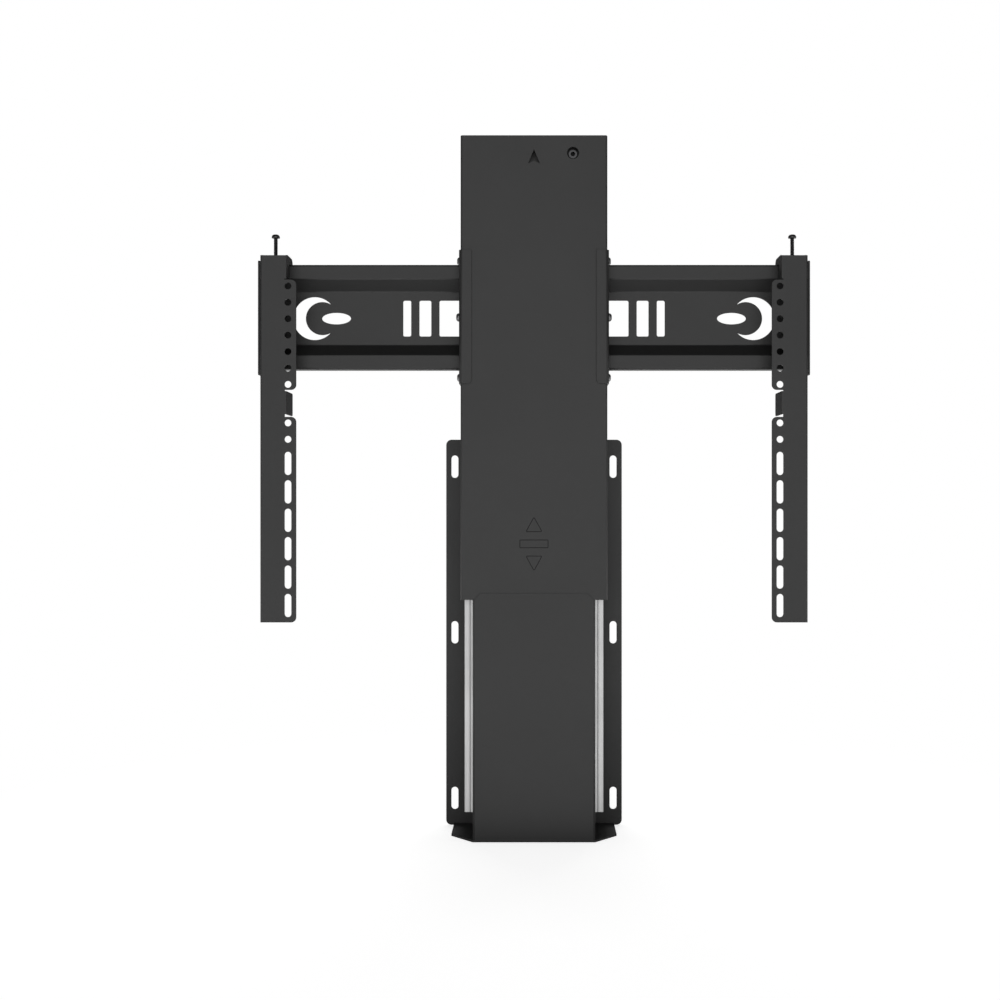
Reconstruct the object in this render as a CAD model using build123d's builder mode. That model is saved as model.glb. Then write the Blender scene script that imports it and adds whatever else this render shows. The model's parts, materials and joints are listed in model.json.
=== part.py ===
"""A motorised lift that raises a television out of a cabinet.

Millimetres, +Z up, +Y away from the television. The origin lies on the floor, in the
middle of the width and of the depth. "Right" is the +X side. A depth is measured back
from the front face of the television arms. The lift stands fully raised.
"""

import math
import os

from build123d import *

os.makedirs("parts", exist_ok=True)

# Driving sizes of the whole lift
overall_depth = 105.5
lift_travel = 265.0
hole_pattern_width = 600.0
overrun = 5.0
running_gap = 0.05
seat_gap = 0.05
body_gap = 0.3
actuator_depth = 57.0
shell_half_width = 90.0
shell_top = 867.0

# Back plate, which is screwed to the wall
plate_margin = 23.5
plate_width = 2 * (shell_half_width + plate_margin)
plate_height = 498.0
plate_thickness = 2.5
plate_corner = 7.0
wall_slot_width = 9.0
wall_slot_length = 29.0
wall_slot_inset = 11.2
wall_slot_spread = plate_width - 2 * wall_slot_inset
wall_slot_pitch = 214.25
lowest_wall_slot = 34.6

# Foot plate
foot_thickness = 2.5
foot_inset = 10.2
foot_half_width = plate_width / 2 - foot_inset
foot_shoulder_depth = 43.5
foot_corner = 1.5

# Fixed column
column_top = 496.0
rail_gap = 4.5
rail_width = 11.8
rail_half_spread = shell_half_width - rail_gap
frame_half_width = rail_half_spread - rail_width
frame_wall = 2.0
frame_front_depth = 13.0
sheet_bend = 2.5
cover_front_depth = 10.5
cover_wall = 1.5
cover_return_depth = 19.0

# Aluminium rails
rail_bottom = 35.1
rail_top = 490.0
rail_front_depth = 20.0
rail_rear_depth = 60.0
rail_base = 4.0
rail_leg = 12.0
rail_bead = 2.5
rail_step = 0.6
rail_hollow = 1.3
rail_hollow_share = 1 / 3

# Moving shell
shell_front_depth = 8.0
shell_rear_depth = 98.0
shell_wall = 1.5
shell_bottom = 297.6
shell_lip = 10.0
notch_height = 8.6
notch_inset = 9.1
notch_foot_inset = 1.3

# Crossbar
bar_drop = 155.5
bar_height = 130.1
bar_top = shell_top - bar_drop
bar_bottom = bar_top - bar_height
bar_front_depth = 27.0
bar_web_depth = 40.4
bar_rear_depth = 43.0
bar_wall = 2.0
bar_end = 339.5
end_plate_wall = 2.0
end_plate_rise = 4.9
end_plate_drop = 6.6

# Television arms
arm_wall = 2.0
arm_rise = 7.0
arm_length = 447.8
arm_top = bar_top + arm_rise
arm_bottom = arm_top - arm_length
arm_outer = 333.9
arm_flange_edge = 290.0
arm_tab_face = 302.0
arm_side_depth = 25.0
mount_hole = 8.3
mount_pitch = 20.0
mount_slot_length = 28.3
mount_slot_pitch = 34.66

# Drive
screw_radius = 7.0
gear_module = 1.5
gear_teeth = 42
pinion_teeth = 14
gear_width = 8.0
pressure_angle = 20.0
tooth_height_share = 0.9
root_depth_share = 1.25
backlash_share = 0.12
outer_tube_radius = 18.0
push_tube_radius = 12.5
tube_wall = 2.0

# Screw heads, as shares of their own sizes
countersink_angle = 90
head_rim_share = 0.25
head_shoulder_radius_share = 0.86
head_shoulder_height_share = 0.72
socket_depth_share = 0.5
flat_socket_depth_share = 0.8
small_socket_share = 0.8


def at_depth(depth):
    """The Y of a place measured back from the front face of the arms."""
    return depth - overall_depth / 2


actuator_y = at_depth(actuator_depth)


def facing_front(depth):
    """A sketch plane seen from the front, X across and Z up."""
    return Plane(origin=(0, at_depth(depth), 0), x_dir=(1, 0, 0), z_dir=(0, -1, 0))


def facing_back(depth):
    """A sketch plane seen from behind, -X across and Z up."""
    return Plane(origin=(0, at_depth(depth), 0), x_dir=(-1, 0, 0), z_dir=(0, 1, 0))


def facing_right(x):
    """A sketch plane seen from the right, Y across and Z up."""
    return Plane.YZ.offset(x)


def facing_left(x):
    """A sketch plane seen from the left, -Y across and Z up."""
    return Plane(origin=(x, 0, 0), x_dir=(0, -1, 0), z_dir=(-1, 0, 0))


def level(z):
    """A sketch plane seen from above, X across and Y up the page."""
    return Plane.XY.offset(z)


def spots(plane, places):
    """Places on a plane, for holes and for the screws in them."""
    return Locations(*[plane.location * Pos(x, y) for x, y in places])


def save(piece, name):
    piece.part.label = name
    export_step(piece.part, f"parts/{name}.step")


def save_pair(piece, name):
    """Writes a right-hand piece, and its mirror image as the left-hand one."""
    save(piece, f"{name}_right")
    with BuildPart() as twin:
        mirror(piece.part, about=Plane.YZ)
    save(twin, f"{name}_left")


def bent_section(plane, points, bend, wall):
    """The cut face of a bent sheet whose outer face follows the points, with the wall on its left."""
    with BuildSketch(plane) as section:
        with BuildLine():
            FilletPolyline(*points, radius=bend)
            offset(amount=wall, side=Side.LEFT)
        make_face()
    return section.sketch


def round_head_screw(head_radius, head_height, shank_radius, shank_length, socket_radius):
    """A screw along Z whose domed head stands on the plane Z = 0, with a hexagon socket."""
    rim = head_height * head_rim_share
    crown = (socket_radius, head_height)
    shoulder = (head_radius * head_shoulder_radius_share, head_height * head_shoulder_height_share)
    with BuildPart() as screw:
        with BuildSketch(Plane.XZ):
            with BuildLine():
                Line((0, head_height), crown)
                ThreePointArc(crown, shoulder, (head_radius, rim))
                Polyline(
                    (head_radius, rim),
                    (head_radius, 0),
                    (shank_radius, 0),
                    (shank_radius, -shank_length),
                    (0, -shank_length),
                    (0, head_height),
                )
            make_face()
        revolve(axis=Axis.Z)
        with BuildSketch(level(head_height)):
            RegularPolygon(socket_radius, side_count=6)
        extrude(amount=-head_height * socket_depth_share, mode=Mode.SUBTRACT)
    return screw.part


def flat_head_screw(head_radius, shank_radius, length, socket_radius):
    """A countersunk screw along Z whose flat head lies in the plane Z = 0."""
    cone = head_radius - shank_radius
    with BuildPart() as screw:
        with BuildSketch(Plane.XZ):
            Polygon(
                (0, 0),
                (head_radius, 0),
                (shank_radius, -cone),
                (shank_radius, -length),
                (0, -length),
                align=None,
            )
        revolve(axis=Axis.Z)
        with BuildSketch(Plane.XY):
            RegularPolygon(socket_radius, side_count=6)
        extrude(amount=-cone * flat_socket_depth_share, mode=Mode.SUBTRACT)
    return screw.part


def save_screws(name, screw, plane, places, both_sides=False):
    """Writes one node that holds a group of equal screws."""
    with BuildPart() as group:
        with spots(plane, places):
            add(screw)
        if both_sides:
            mirror(group.part, about=Plane.YZ)
    save(group, name)


# Back plate, with six upright wall slots and countersinks for the rivets
plate_rear_depth = overall_depth
plate_front_depth = plate_rear_depth - plate_thickness
rivet_radius = 2.4
rivet_head_radius = 4.4
rivet_tail_radius = 4.2
rivet_tail = 1.6
rivet_half_spread = 52.0
rivet_edge = 38.0
rivet_places = [
    (side * rivet_half_spread, z)
    for side in (-1, 1)
    for z in (rivet_edge, plate_height / 2, plate_height - rivet_edge)
]
with BuildPart() as back_plate:
    with BuildSketch(facing_front(plate_front_depth)):
        with Locations((0, plate_height / 2)):
            RectangleRounded(plate_width, plate_height, plate_corner)
        for side in (-1, 1):
            for row in range(3):
                with Locations((side * wall_slot_spread / 2, lowest_wall_slot + row * wall_slot_pitch)):
                    SlotOverall(wall_slot_length, wall_slot_width, rotation=90, mode=Mode.SUBTRACT)
    extrude(amount=-plate_thickness)
    with spots(facing_back(plate_rear_depth), rivet_places):
        CounterSinkHole(
            rivet_radius + seat_gap, rivet_head_radius + seat_gap, counter_sink_angle=countersink_angle
        )
save(back_plate, "back_plate")

# Foot plate, a flat sheet with its front corners cut away
actuator_foot_half_width = 26.0
actuator_foot_half_depth = 20.0
foot_screw_radius = 3.0
foot_screw_head = 5.0
foot_screw_inset = 7.0
foot_screw_length = 6.0
foot_screw_places = [
    (sx * (actuator_foot_half_width - foot_screw_inset),
     sy * (actuator_foot_half_depth - foot_screw_inset) - actuator_y)
    for sx in (-1, 1)
    for sy in (-1, 1)
]
underside = Plane(origin=(0, 0, 0), x_dir=(1, 0, 0), z_dir=(0, 0, -1))
column_half_width = frame_half_width + cover_wall
with BuildPart() as foot_plate:
    with BuildSketch(Plane.XY) as outline:
        Polygon(
            (-foot_half_width, at_depth(plate_front_depth)),
            (foot_half_width, at_depth(plate_front_depth)),
            (foot_half_width, at_depth(foot_shoulder_depth)),
            (column_half_width, at_depth(cover_front_depth)),
            (-column_half_width, at_depth(cover_front_depth)),
            (-foot_half_width, at_depth(foot_shoulder_depth)),
            align=None,
        )
        fillet(outline.vertices().group_by(Axis.Y)[1], foot_corner)
    extrude(amount=foot_thickness)
    with spots(underside, foot_screw_places):
        CounterSinkHole(
            foot_screw_radius + seat_gap, foot_screw_head + seat_gap, counter_sink_angle=countersink_angle
        )
save(foot_plate, "foot_plate")

# Column frame, a channel that is open to the front and stands on the foot plate
cover_screw_radius = 1.5
cover_screw_head = 2.7
cover_screw_length = 4.5
cover_screw_depth = 16.0
cover_screw_edge = 60.0
cover_screw_places = [
    (at_depth(cover_screw_depth), z)
    for z in (cover_screw_edge, column_top / 2, column_top - cover_screw_edge)
]
rail_screw_radius = 2.5
rail_screw_head = 4.6
rail_screw_edge = 30.0
rail_middle_depth = (rail_front_depth + rail_rear_depth) / 2
rail_screw_places = [
    (at_depth(rail_middle_depth), z)
    for z in (rail_bottom + rail_screw_edge, (rail_bottom + rail_top) / 2, rail_top - rail_screw_edge)
]
frame_points = [
    (frame_half_width, at_depth(frame_front_depth)),
    (frame_half_width, at_depth(plate_front_depth)),
    (-frame_half_width, at_depth(plate_front_depth)),
    (-frame_half_width, at_depth(frame_front_depth)),
]
frame_section = bent_section(level(foot_thickness), frame_points, sheet_bend, frame_wall)
with BuildPart() as column_frame:
    extrude(frame_section, amount=column_top - foot_thickness)
    with BuildSketch(facing_front(plate_front_depth + overrun)):
        with Locations(*rivet_places):
            Circle(rivet_radius + seat_gap)
    extrude(amount=plate_thickness + frame_wall + overrun + overrun, mode=Mode.SUBTRACT)
    with BuildSketch(facing_right(-frame_half_width - overrun)):
        with Locations(*rail_screw_places):
            Circle(rail_screw_radius + seat_gap)
        with Locations(*cover_screw_places):
            Circle(cover_screw_radius + seat_gap)
    extrude(amount=2 * (frame_half_width + overrun), mode=Mode.SUBTRACT)
save(column_frame, "column_frame")

# Rivets that hold the frame to the back plate, flush behind and formed over inside
rivet_grip = plate_thickness + frame_wall
with BuildPart() as rivet:
    with BuildSketch(Plane.XZ):
        Polygon(
            (0, 0),
            (rivet_head_radius, 0),
            (rivet_radius, rivet_radius - rivet_head_radius),
            (rivet_radius, -rivet_grip),
            (rivet_tail_radius, -rivet_grip),
            (rivet_tail_radius, -rivet_grip - rivet_tail / 2),
            (rivet_radius, -rivet_grip - rivet_tail),
            (0, -rivet_grip - rivet_tail),
            align=None,
        )
    revolve(axis=Axis.Z)
save_screws("frame_rivets", rivet.part, facing_back(plate_rear_depth), rivet_places)

# Column cover, a shallow channel that closes the front of the column
cover_points = [
    (-column_half_width, at_depth(cover_return_depth)),
    (-column_half_width, at_depth(cover_front_depth)),
    (column_half_width, at_depth(cover_front_depth)),
    (column_half_width, at_depth(cover_return_depth)),
]
cover_section = bent_section(level(foot_thickness), cover_points, sheet_bend, cover_wall)
with BuildPart() as column_cover:
    extrude(cover_section, amount=column_top - foot_thickness)
    with spots(facing_right(column_half_width), cover_screw_places):
        CounterSinkHole(
            cover_screw_radius + seat_gap, cover_screw_head + seat_gap, counter_sink_angle=countersink_angle
        )
    with spots(facing_left(-column_half_width), [(-y, z) for y, z in cover_screw_places]):
        CounterSinkHole(
            cover_screw_radius + seat_gap, cover_screw_head + seat_gap, counter_sink_angle=countersink_angle
        )
save(column_cover, "column_cover")
cover_screw = flat_head_screw(
    cover_screw_head, cover_screw_radius, cover_screw_length, cover_screw_radius
)
save_screws(
    "cover_screws", cover_screw, facing_right(column_half_width), cover_screw_places, both_sides=True
)

# Rails, aluminium sections with a groove that faces outwards and a hollowed front face
rail_inner = frame_half_width
groove_floor = rail_inner + rail_base
bead_edge = column_half_width + rail_bead
hollow_middle = bead_edge + rail_hollow_share * (rail_half_spread - bead_edge)
with BuildPart() as rail:
    with BuildSketch(level(rail_bottom)):
        with BuildLine():
            Polyline(
                (rail_half_spread, at_depth(rail_front_depth + rail_step)),
                (rail_half_spread, at_depth(rail_front_depth + rail_leg)),
                (groove_floor, at_depth(rail_front_depth + rail_leg)),
                (groove_floor, at_depth(rail_rear_depth - rail_leg)),
                (rail_half_spread, at_depth(rail_rear_depth - rail_leg)),
                (rail_half_spread, at_depth(rail_rear_depth)),
                (rail_inner, at_depth(rail_rear_depth)),
                (rail_inner, at_depth(rail_front_depth)),
                (bead_edge, at_depth(rail_front_depth)),
                (bead_edge, at_depth(rail_front_depth + rail_hollow)),
            )
            ThreePointArc(
                (bead_edge, at_depth(rail_front_depth + rail_hollow)),
                (hollow_middle, at_depth(rail_front_depth + rail_step)),
                (rail_half_spread, at_depth(rail_front_depth + rail_step)),
            )
        make_face()
    extrude(amount=rail_top - rail_bottom)
    with spots(facing_right(groove_floor), rail_screw_places):
        CounterSinkHole(
            rail_screw_radius + seat_gap, rail_screw_head + seat_gap, counter_sink_angle=countersink_angle
        )
save_pair(rail, "rail")
rail_screw = flat_head_screw(
    rail_screw_head, rail_screw_radius, rail_base + frame_wall + rail_screw_radius, rail_screw_radius
)
save_screws("rail_screws", rail_screw, facing_right(groove_floor), rail_screw_places, both_sides=True)

# Moving shell, a channel open to the rear with turned-in rear lips and a closed top
bracket_wall = 2.0
bracket_drop = 18.8
bracket_rise = 14.9
bracket_flap = 13.5
bracket_bottom = bar_bottom - bracket_drop
bracket_top = bar_top + bracket_rise
bracket_flap_edge = shell_half_width - bracket_flap
bracket_rear_depth = 62.0
bracket_corner = 5.0
bracket_screw_radius = 3.0
bracket_screw_near = 30.0
bracket_screw_far = 50.0
bracket_screw_edge = 7.1
bracket_screw_low_edge = 10.7
bar_middle = (bar_bottom + bar_top) / 2
bracket_outer_places = [
    (at_depth(bracket_screw_far), bracket_bottom + bracket_screw_low_edge),
    (at_depth(bracket_screw_far), bracket_top - bracket_screw_edge),
]
bracket_middle_place = [(at_depth(bracket_screw_near), bar_middle)]
glide_length = 40.0
glide_peg_radius = 3.0
glide_peg_half_pitch = 12.0
lower_glide_inset = 6.3
upper_glide_inset = 10.0
lower_glide = shell_bottom + lower_glide_inset
upper_glide = rail_top - upper_glide_inset - glide_length
glide_peg_places = [
    (at_depth(rail_middle_depth), base + glide_length / 2 + side * glide_peg_half_pitch)
    for base in (lower_glide, upper_glide)
    for side in (-1, 1)
]
arrow_drop = 17.5
arrow_tip = shell_top - arrow_drop
arrow_height = 16.9
arrow_half_width = 7.05
arrow_notch_height = 3.1
access_hole_radius = 7.35
access_x = 47.8
access_drop = 21.8
access_z = shell_top - access_drop
icon_middle = 366.3
icon_line = 0.7
icon_depth = 0.35
icon_corner = 1.2
icon_bar_width = 35.2
icon_bar_height = 10.2
icon_arrow_height = 18.9
icon_arrow_half_width = 10.4
icon_arrow_base = 14.6
top_screw_radius = 2.5
top_screw_head = 4.6
top_screw_inset = 28.0
top_screw_x = shell_half_width - top_screw_inset
top_screw_depths = (28.0, 80.0)
top_screw_places = [
    (side * top_screw_x, at_depth(depth)) for side in (-1, 1) for depth in top_screw_depths
]


def icon_outline(points):
    """A closed engraved line that follows a polygon with rounded corners."""
    with BuildSketch(facing_front(shell_front_depth)) as ring:
        Polygon(*points, align=None)
        fillet(ring.vertices(), icon_corner)
        offset(amount=-icon_line, mode=Mode.SUBTRACT)
    return ring.sketch


def icon_arrow(base_z, tip_z):
    return [(-icon_arrow_half_width, base_z), (icon_arrow_half_width, base_z), (0, tip_z)]


icon_bar = [
    (sx * icon_bar_width / 2, icon_middle + sz * icon_bar_height / 2)
    for sx, sz in ((-1, -1), (1, -1), (1, 1), (-1, 1))
]
icon_up = icon_arrow(icon_middle + icon_arrow_base, icon_middle + icon_arrow_base + icon_arrow_height)
icon_down = icon_arrow(icon_middle - icon_arrow_base, icon_middle - icon_arrow_base - icon_arrow_height)
shell_points = [
    (-shell_half_width + shell_lip, at_depth(shell_rear_depth)),
    (-shell_half_width, at_depth(shell_rear_depth)),
    (-shell_half_width, at_depth(shell_front_depth)),
    (shell_half_width, at_depth(shell_front_depth)),
    (shell_half_width, at_depth(shell_rear_depth)),
    (shell_half_width - shell_lip, at_depth(shell_rear_depth)),
]
shell_section = bent_section(level(shell_bottom), shell_points, sheet_bend, shell_wall)
notch_half_width = column_half_width - notch_inset
notch_foot_half_width = column_half_width - notch_foot_inset
shell_depth = shell_rear_depth - shell_front_depth
shell_middle_y = at_depth((shell_front_depth + shell_rear_depth) / 2)
top_edge_radius = 1.2
with BuildPart() as moving_shell:
    extrude(shell_section, amount=shell_top - shell_bottom)
    with BuildSketch(level(shell_top)):
        with Locations((0, shell_middle_y)):
            RectangleRounded(2 * shell_half_width, shell_depth, sheet_bend)
    extrude(amount=-shell_wall)
    fillet(moving_shell.edges().group_by(Axis.Z)[-1], top_edge_radius)
    with BuildSketch(facing_front(shell_front_depth - overrun)):
        Polygon(
            (-notch_half_width, shell_bottom + notch_height),
            (notch_half_width, shell_bottom + notch_height),
            (notch_foot_half_width, shell_bottom),
            (notch_foot_half_width, shell_bottom - overrun),
            (-notch_foot_half_width, shell_bottom - overrun),
            (-notch_foot_half_width, shell_bottom),
            align=None,
        )
        Polygon(
            (0, arrow_tip),
            (arrow_half_width, arrow_tip - arrow_height),
            (0, arrow_tip - arrow_height + arrow_notch_height),
            (-arrow_half_width, arrow_tip - arrow_height),
            align=None,
        )
        with Locations((access_x, access_z)):
            Circle(access_hole_radius)
    extrude(amount=-overrun - shell_wall - overrun, mode=Mode.SUBTRACT)
    for shape in (icon_up, icon_bar, icon_down):
        extrude(icon_outline(shape), amount=-icon_depth, mode=Mode.SUBTRACT)
    with BuildSketch(facing_right(-shell_half_width - overrun)):
        with Locations(*bracket_outer_places, *bracket_middle_place):
            Circle(bracket_screw_radius + seat_gap)
        with Locations(*glide_peg_places):
            Circle(glide_peg_radius + seat_gap)
    extrude(amount=2 * (shell_half_width + overrun), mode=Mode.SUBTRACT)
    with spots(level(shell_top), top_screw_places):
        CounterSinkHole(
            top_screw_radius + seat_gap, top_screw_head + seat_gap, counter_sink_angle=countersink_angle
        )
save(moving_shell, "moving_shell")

# Glide blocks, pegged into the shell's sides, with a tongue in each rail's groove
glide_half_depth = 16.0
shell_inner = shell_half_width - shell_wall
glide_pad = shell_inner - rail_half_spread - body_gap
tongue_half_depth = (rail_rear_depth - rail_front_depth) / 2 - rail_leg - body_gap
tongue_length = shell_inner - groove_floor - body_gap
for glide_name, base in (("glide_lower", lower_glide), ("glide_upper", upper_glide)):
    with BuildPart() as glide:
        with BuildSketch(facing_right(shell_inner)):
            with Locations((at_depth(rail_middle_depth), base + glide_length / 2)):
                Rectangle(2 * glide_half_depth, glide_length)
        extrude(amount=-glide_pad)
        with BuildSketch(facing_right(shell_inner)):
            with Locations((at_depth(rail_middle_depth), base + glide_length / 2)):
                Rectangle(2 * tongue_half_depth, glide_length)
        extrude(amount=-tongue_length)
        with BuildSketch(facing_right(shell_inner)):
            for side in (-1, 1):
                peg_z = base + glide_length / 2 + side * glide_peg_half_pitch
                with Locations((at_depth(rail_middle_depth), peg_z)):
                    Circle(glide_peg_radius)
        extrude(amount=shell_wall)
    save_pair(glide, glide_name)

# Crossbar brackets, angles wrapped round the front edges of the shell
bracket_outer = shell_half_width + bracket_wall
bracket_front_depth = shell_front_depth - bracket_wall
bracket_points = [
    (bracket_flap_edge, at_depth(bracket_front_depth)),
    (bracket_outer, at_depth(bracket_front_depth)),
    (bracket_outer, at_depth(bracket_rear_depth)),
]
bracket_section = bent_section(
    level(bracket_bottom), bracket_points, sheet_bend + bracket_wall, bracket_wall
)
with BuildPart() as crossbar_bracket:
    extrude(bracket_section, amount=bracket_top - bracket_bottom)
    flap_corners = crossbar_bracket.edges().filter_by(Axis.Y).group_by(Axis.X)[0]
    fillet(flap_corners.sort_by(Axis.Z)[0], bracket_corner)
    with BuildSketch(facing_right(shell_half_width - overrun)):
        with Locations(*bracket_outer_places, *bracket_middle_place):
            Circle(bracket_screw_radius + seat_gap)
    extrude(amount=bracket_wall + overrun + overrun, mode=Mode.SUBTRACT)
save_pair(crossbar_bracket, "crossbar_bracket")

# Screws and press nuts that clamp the brackets to the shell
press_nut_radius = 5.5
press_nut_height = 2.0
bracket_screw_head = 5.25
bracket_screw_height = 4.4
bracket_screw_socket = 2.2
bracket_screw_length = bracket_wall + shell_wall + press_nut_height
bracket_screw = round_head_screw(
    bracket_screw_head,
    bracket_screw_height,
    bracket_screw_radius,
    bracket_screw_length,
    bracket_screw_socket,
)
bracket_places = bracket_outer_places + bracket_middle_place
save_screws(
    "bracket_screws", bracket_screw, facing_right(bracket_outer), bracket_places, both_sides=True
)
with BuildPart() as press_nut:
    with BuildSketch(Plane.XY):
        Circle(press_nut_radius)
        Circle(bracket_screw_radius + seat_gap, mode=Mode.SUBTRACT)
    extrude(amount=-press_nut_height)
save_screws("press_nuts", press_nut.part, facing_right(shell_inner), bracket_places, both_sides=True)

# Crossbar halves, hat sections with lightening windows, welded to the brackets
bar_lip = 18.0
bar_slope = 13.7
bar_points = [
    (at_depth(bar_rear_depth), bar_top),
    (at_depth(bar_front_depth), bar_top),
    (at_depth(bar_front_depth), bar_top - bar_lip),
    (at_depth(bar_web_depth), bar_top - bar_lip - bar_slope),
    (at_depth(bar_web_depth), bar_bottom + bar_lip + bar_slope),
    (at_depth(bar_front_depth), bar_bottom + bar_lip),
    (at_depth(bar_front_depth), bar_bottom),
    (at_depth(bar_rear_depth), bar_bottom),
]
bar_section = bent_section(facing_right(bracket_outer), bar_points, sheet_bend, bar_wall)
window_height = 44.7
window_corner = 2.1
outer_window = (153.3, 163.2)
middle_window = (128.2, 143.0)
inner_window_end = 118.0
crescent_x = 273.6
crescent_radius = 26.8
crescent_inner_x = 264.1
crescent_inner_radius = 20.6
oval_x = 246.5
oval_half_width = 18.0
oval_half_height = 7.2
tongue_height = 8.0
tongue_places = [
    (at_depth(bar_front_depth + bar_wall / 2), bar_top - bar_lip / 2),
    (at_depth(bar_front_depth + bar_wall / 2), bar_bottom + bar_lip / 2),
]
with BuildPart() as crossbar:
    extrude(bar_section, amount=bar_end - bracket_outer)
    with BuildSketch(facing_right(bar_end)):
        with Locations(*tongue_places):
            Rectangle(bar_wall, tongue_height)
    extrude(amount=end_plate_wall)
    with BuildSketch(facing_front(bar_web_depth - overrun)):
        for near, far in (outer_window, middle_window, (bracket_outer - overrun, inner_window_end)):
            with Locations(((near + far) / 2, bar_middle)):
                RectangleRounded(far - near, window_height, window_corner)
        with Locations((oval_x, bar_middle)):
            Ellipse(oval_half_width, oval_half_height)
    extrude(amount=-overrun - bar_wall - overrun, mode=Mode.SUBTRACT)
    with BuildSketch(facing_front(bar_web_depth - overrun)):
        with Locations((crescent_x, bar_middle)):
            Circle(crescent_radius)
        with Locations((crescent_inner_x, bar_middle)):
            Circle(crescent_inner_radius, mode=Mode.SUBTRACT)
    extrude(amount=-overrun - bar_wall - overrun, mode=Mode.SUBTRACT)
save_pair(crossbar, "crossbar")

# End plates, which stop the arms and take the crossbar's tongues in slots
end_plate_margin = 2.0
end_plate_corner = 2.0
end_plate_bottom = bar_bottom - end_plate_drop
end_plate_top = bar_top + end_plate_rise
end_plate_width = bar_rear_depth - bar_front_depth + 2 * end_plate_margin
with BuildPart() as end_plate:
    with BuildSketch(facing_right(bar_end)):
        with Locations(
            (at_depth((bar_front_depth + bar_rear_depth) / 2), (end_plate_bottom + end_plate_top) / 2)
        ):
            RectangleRounded(end_plate_width, end_plate_top - end_plate_bottom, end_plate_corner)
        with Locations(*tongue_places):
            Rectangle(bar_wall + seat_gap, tongue_height + seat_gap, mode=Mode.SUBTRACT)
    extrude(amount=end_plate_wall)
save_pair(end_plate, "end_plate")

# Television arms, each one folded sheet that hooks over the crossbar
hole_x = hole_pattern_width / 2
flange_drop = 29.8
flange_height = 134.4
flange_break = 32.9
flange_upper = (arm_top - flange_drop - flange_height, arm_top - flange_drop)
flange_lower = (arm_bottom, flange_upper[0] - flange_break)
flange_corner = 6.2
first_hole_drop = 37.5
lower_hole_drop = 204.5
slot_drop = 253.9
first_hole = arm_top - first_hole_drop
lower_first_hole = arm_top - lower_hole_drop
first_slot = arm_top - slot_drop
upper_hole_count = 7
lower_hole_count = 2
slot_count = 6
hook_rise = 1.8
hook_shoulder_depth = 9.0
hook_front_depth = 22.0
hook_gap = 0.5
hook_wall = 2.6
hook_nose_drop = 13.0
hook_corner = 3.0
hook_top_corner = 8.0
hook_nose_corner = 1.0
upper_tab_drop = 28.5
lower_tab_drop = 165.6
lower_tab_height = 28.1
upper_tab_bottom = arm_top - upper_tab_drop
lower_tab = (arm_top - lower_tab_drop - lower_tab_height, arm_top - lower_tab_drop)
lower_tab_depth = 45.6
screw_x = 321.4
screw_depth = 36.0
top_tab_rear_depth = 44.0
arm_screw_radius = 2.5
hook_under = bar_top + body_gap
hook_top = arm_top + hook_rise
nose_front_depth = bar_rear_depth + hook_gap
nose_rear_depth = nose_front_depth + hook_wall
hook_points = [
    (at_depth(0), upper_tab_bottom),
    (at_depth(hook_front_depth), upper_tab_bottom),
    (at_depth(hook_front_depth), hook_under),
    (at_depth(nose_front_depth), hook_under),
    (at_depth(nose_front_depth), hook_under - hook_nose_drop),
    (at_depth(nose_rear_depth), hook_under - hook_nose_drop),
    (at_depth(nose_rear_depth), hook_top),
    (at_depth(hook_shoulder_depth), hook_top),
    (at_depth(arm_wall), arm_top),
    (at_depth(0), arm_top),
]
flange_joint = arm_tab_face + arm_wall
flange_reach = 2 * (flange_joint - arm_flange_edge)
with BuildSketch(facing_front(0)) as arm_front:
    with Locations(((flange_joint + arm_outer) / 2, (arm_bottom + arm_top) / 2)):
        Rectangle(arm_outer - flange_joint, arm_top - arm_bottom)
    for low, high in (flange_upper, flange_lower):
        with Locations((arm_flange_edge + flange_reach / 2, (low + high) / 2)):
            RectangleRounded(flange_reach, high - low, flange_corner)
    for first, count in ((first_hole, upper_hole_count), (lower_first_hole, lower_hole_count)):
        for row in range(count):
            with Locations((hole_x, first - row * mount_pitch)):
                Circle(mount_hole / 2, mode=Mode.SUBTRACT)
    for row in range(slot_count):
        with Locations((hole_x, first_slot - row * mount_slot_pitch)):
            SlotOverall(mount_slot_length, mount_hole, rotation=90, mode=Mode.SUBTRACT)
with BuildSketch(facing_right(arm_tab_face)) as hook_side:
    Polygon(*hook_points, align=None)
    fillet(hook_side.vertices().group_by(Axis.X)[-1].sort_by(Axis.Y)[-1], hook_top_corner)
    fillet(hook_side.vertices().group_by(Axis.X)[-1].sort_by(Axis.Y)[0], hook_nose_corner)
with BuildSketch(facing_right(arm_tab_face)) as lower_tab_side:
    with Locations((at_depth(lower_tab_depth / 2), (lower_tab[0] + lower_tab[1]) / 2)):
        Rectangle(lower_tab_depth, lower_tab[1] - lower_tab[0])
    fillet(lower_tab_side.vertices().group_by(Axis.X)[-1], hook_corner)
arm_edge_radius = 1.8
tab_relief = 0.5
outer_wall_x = arm_outer - arm_wall
top_tab_width = outer_wall_x - flange_joint - 2 * tab_relief
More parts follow.
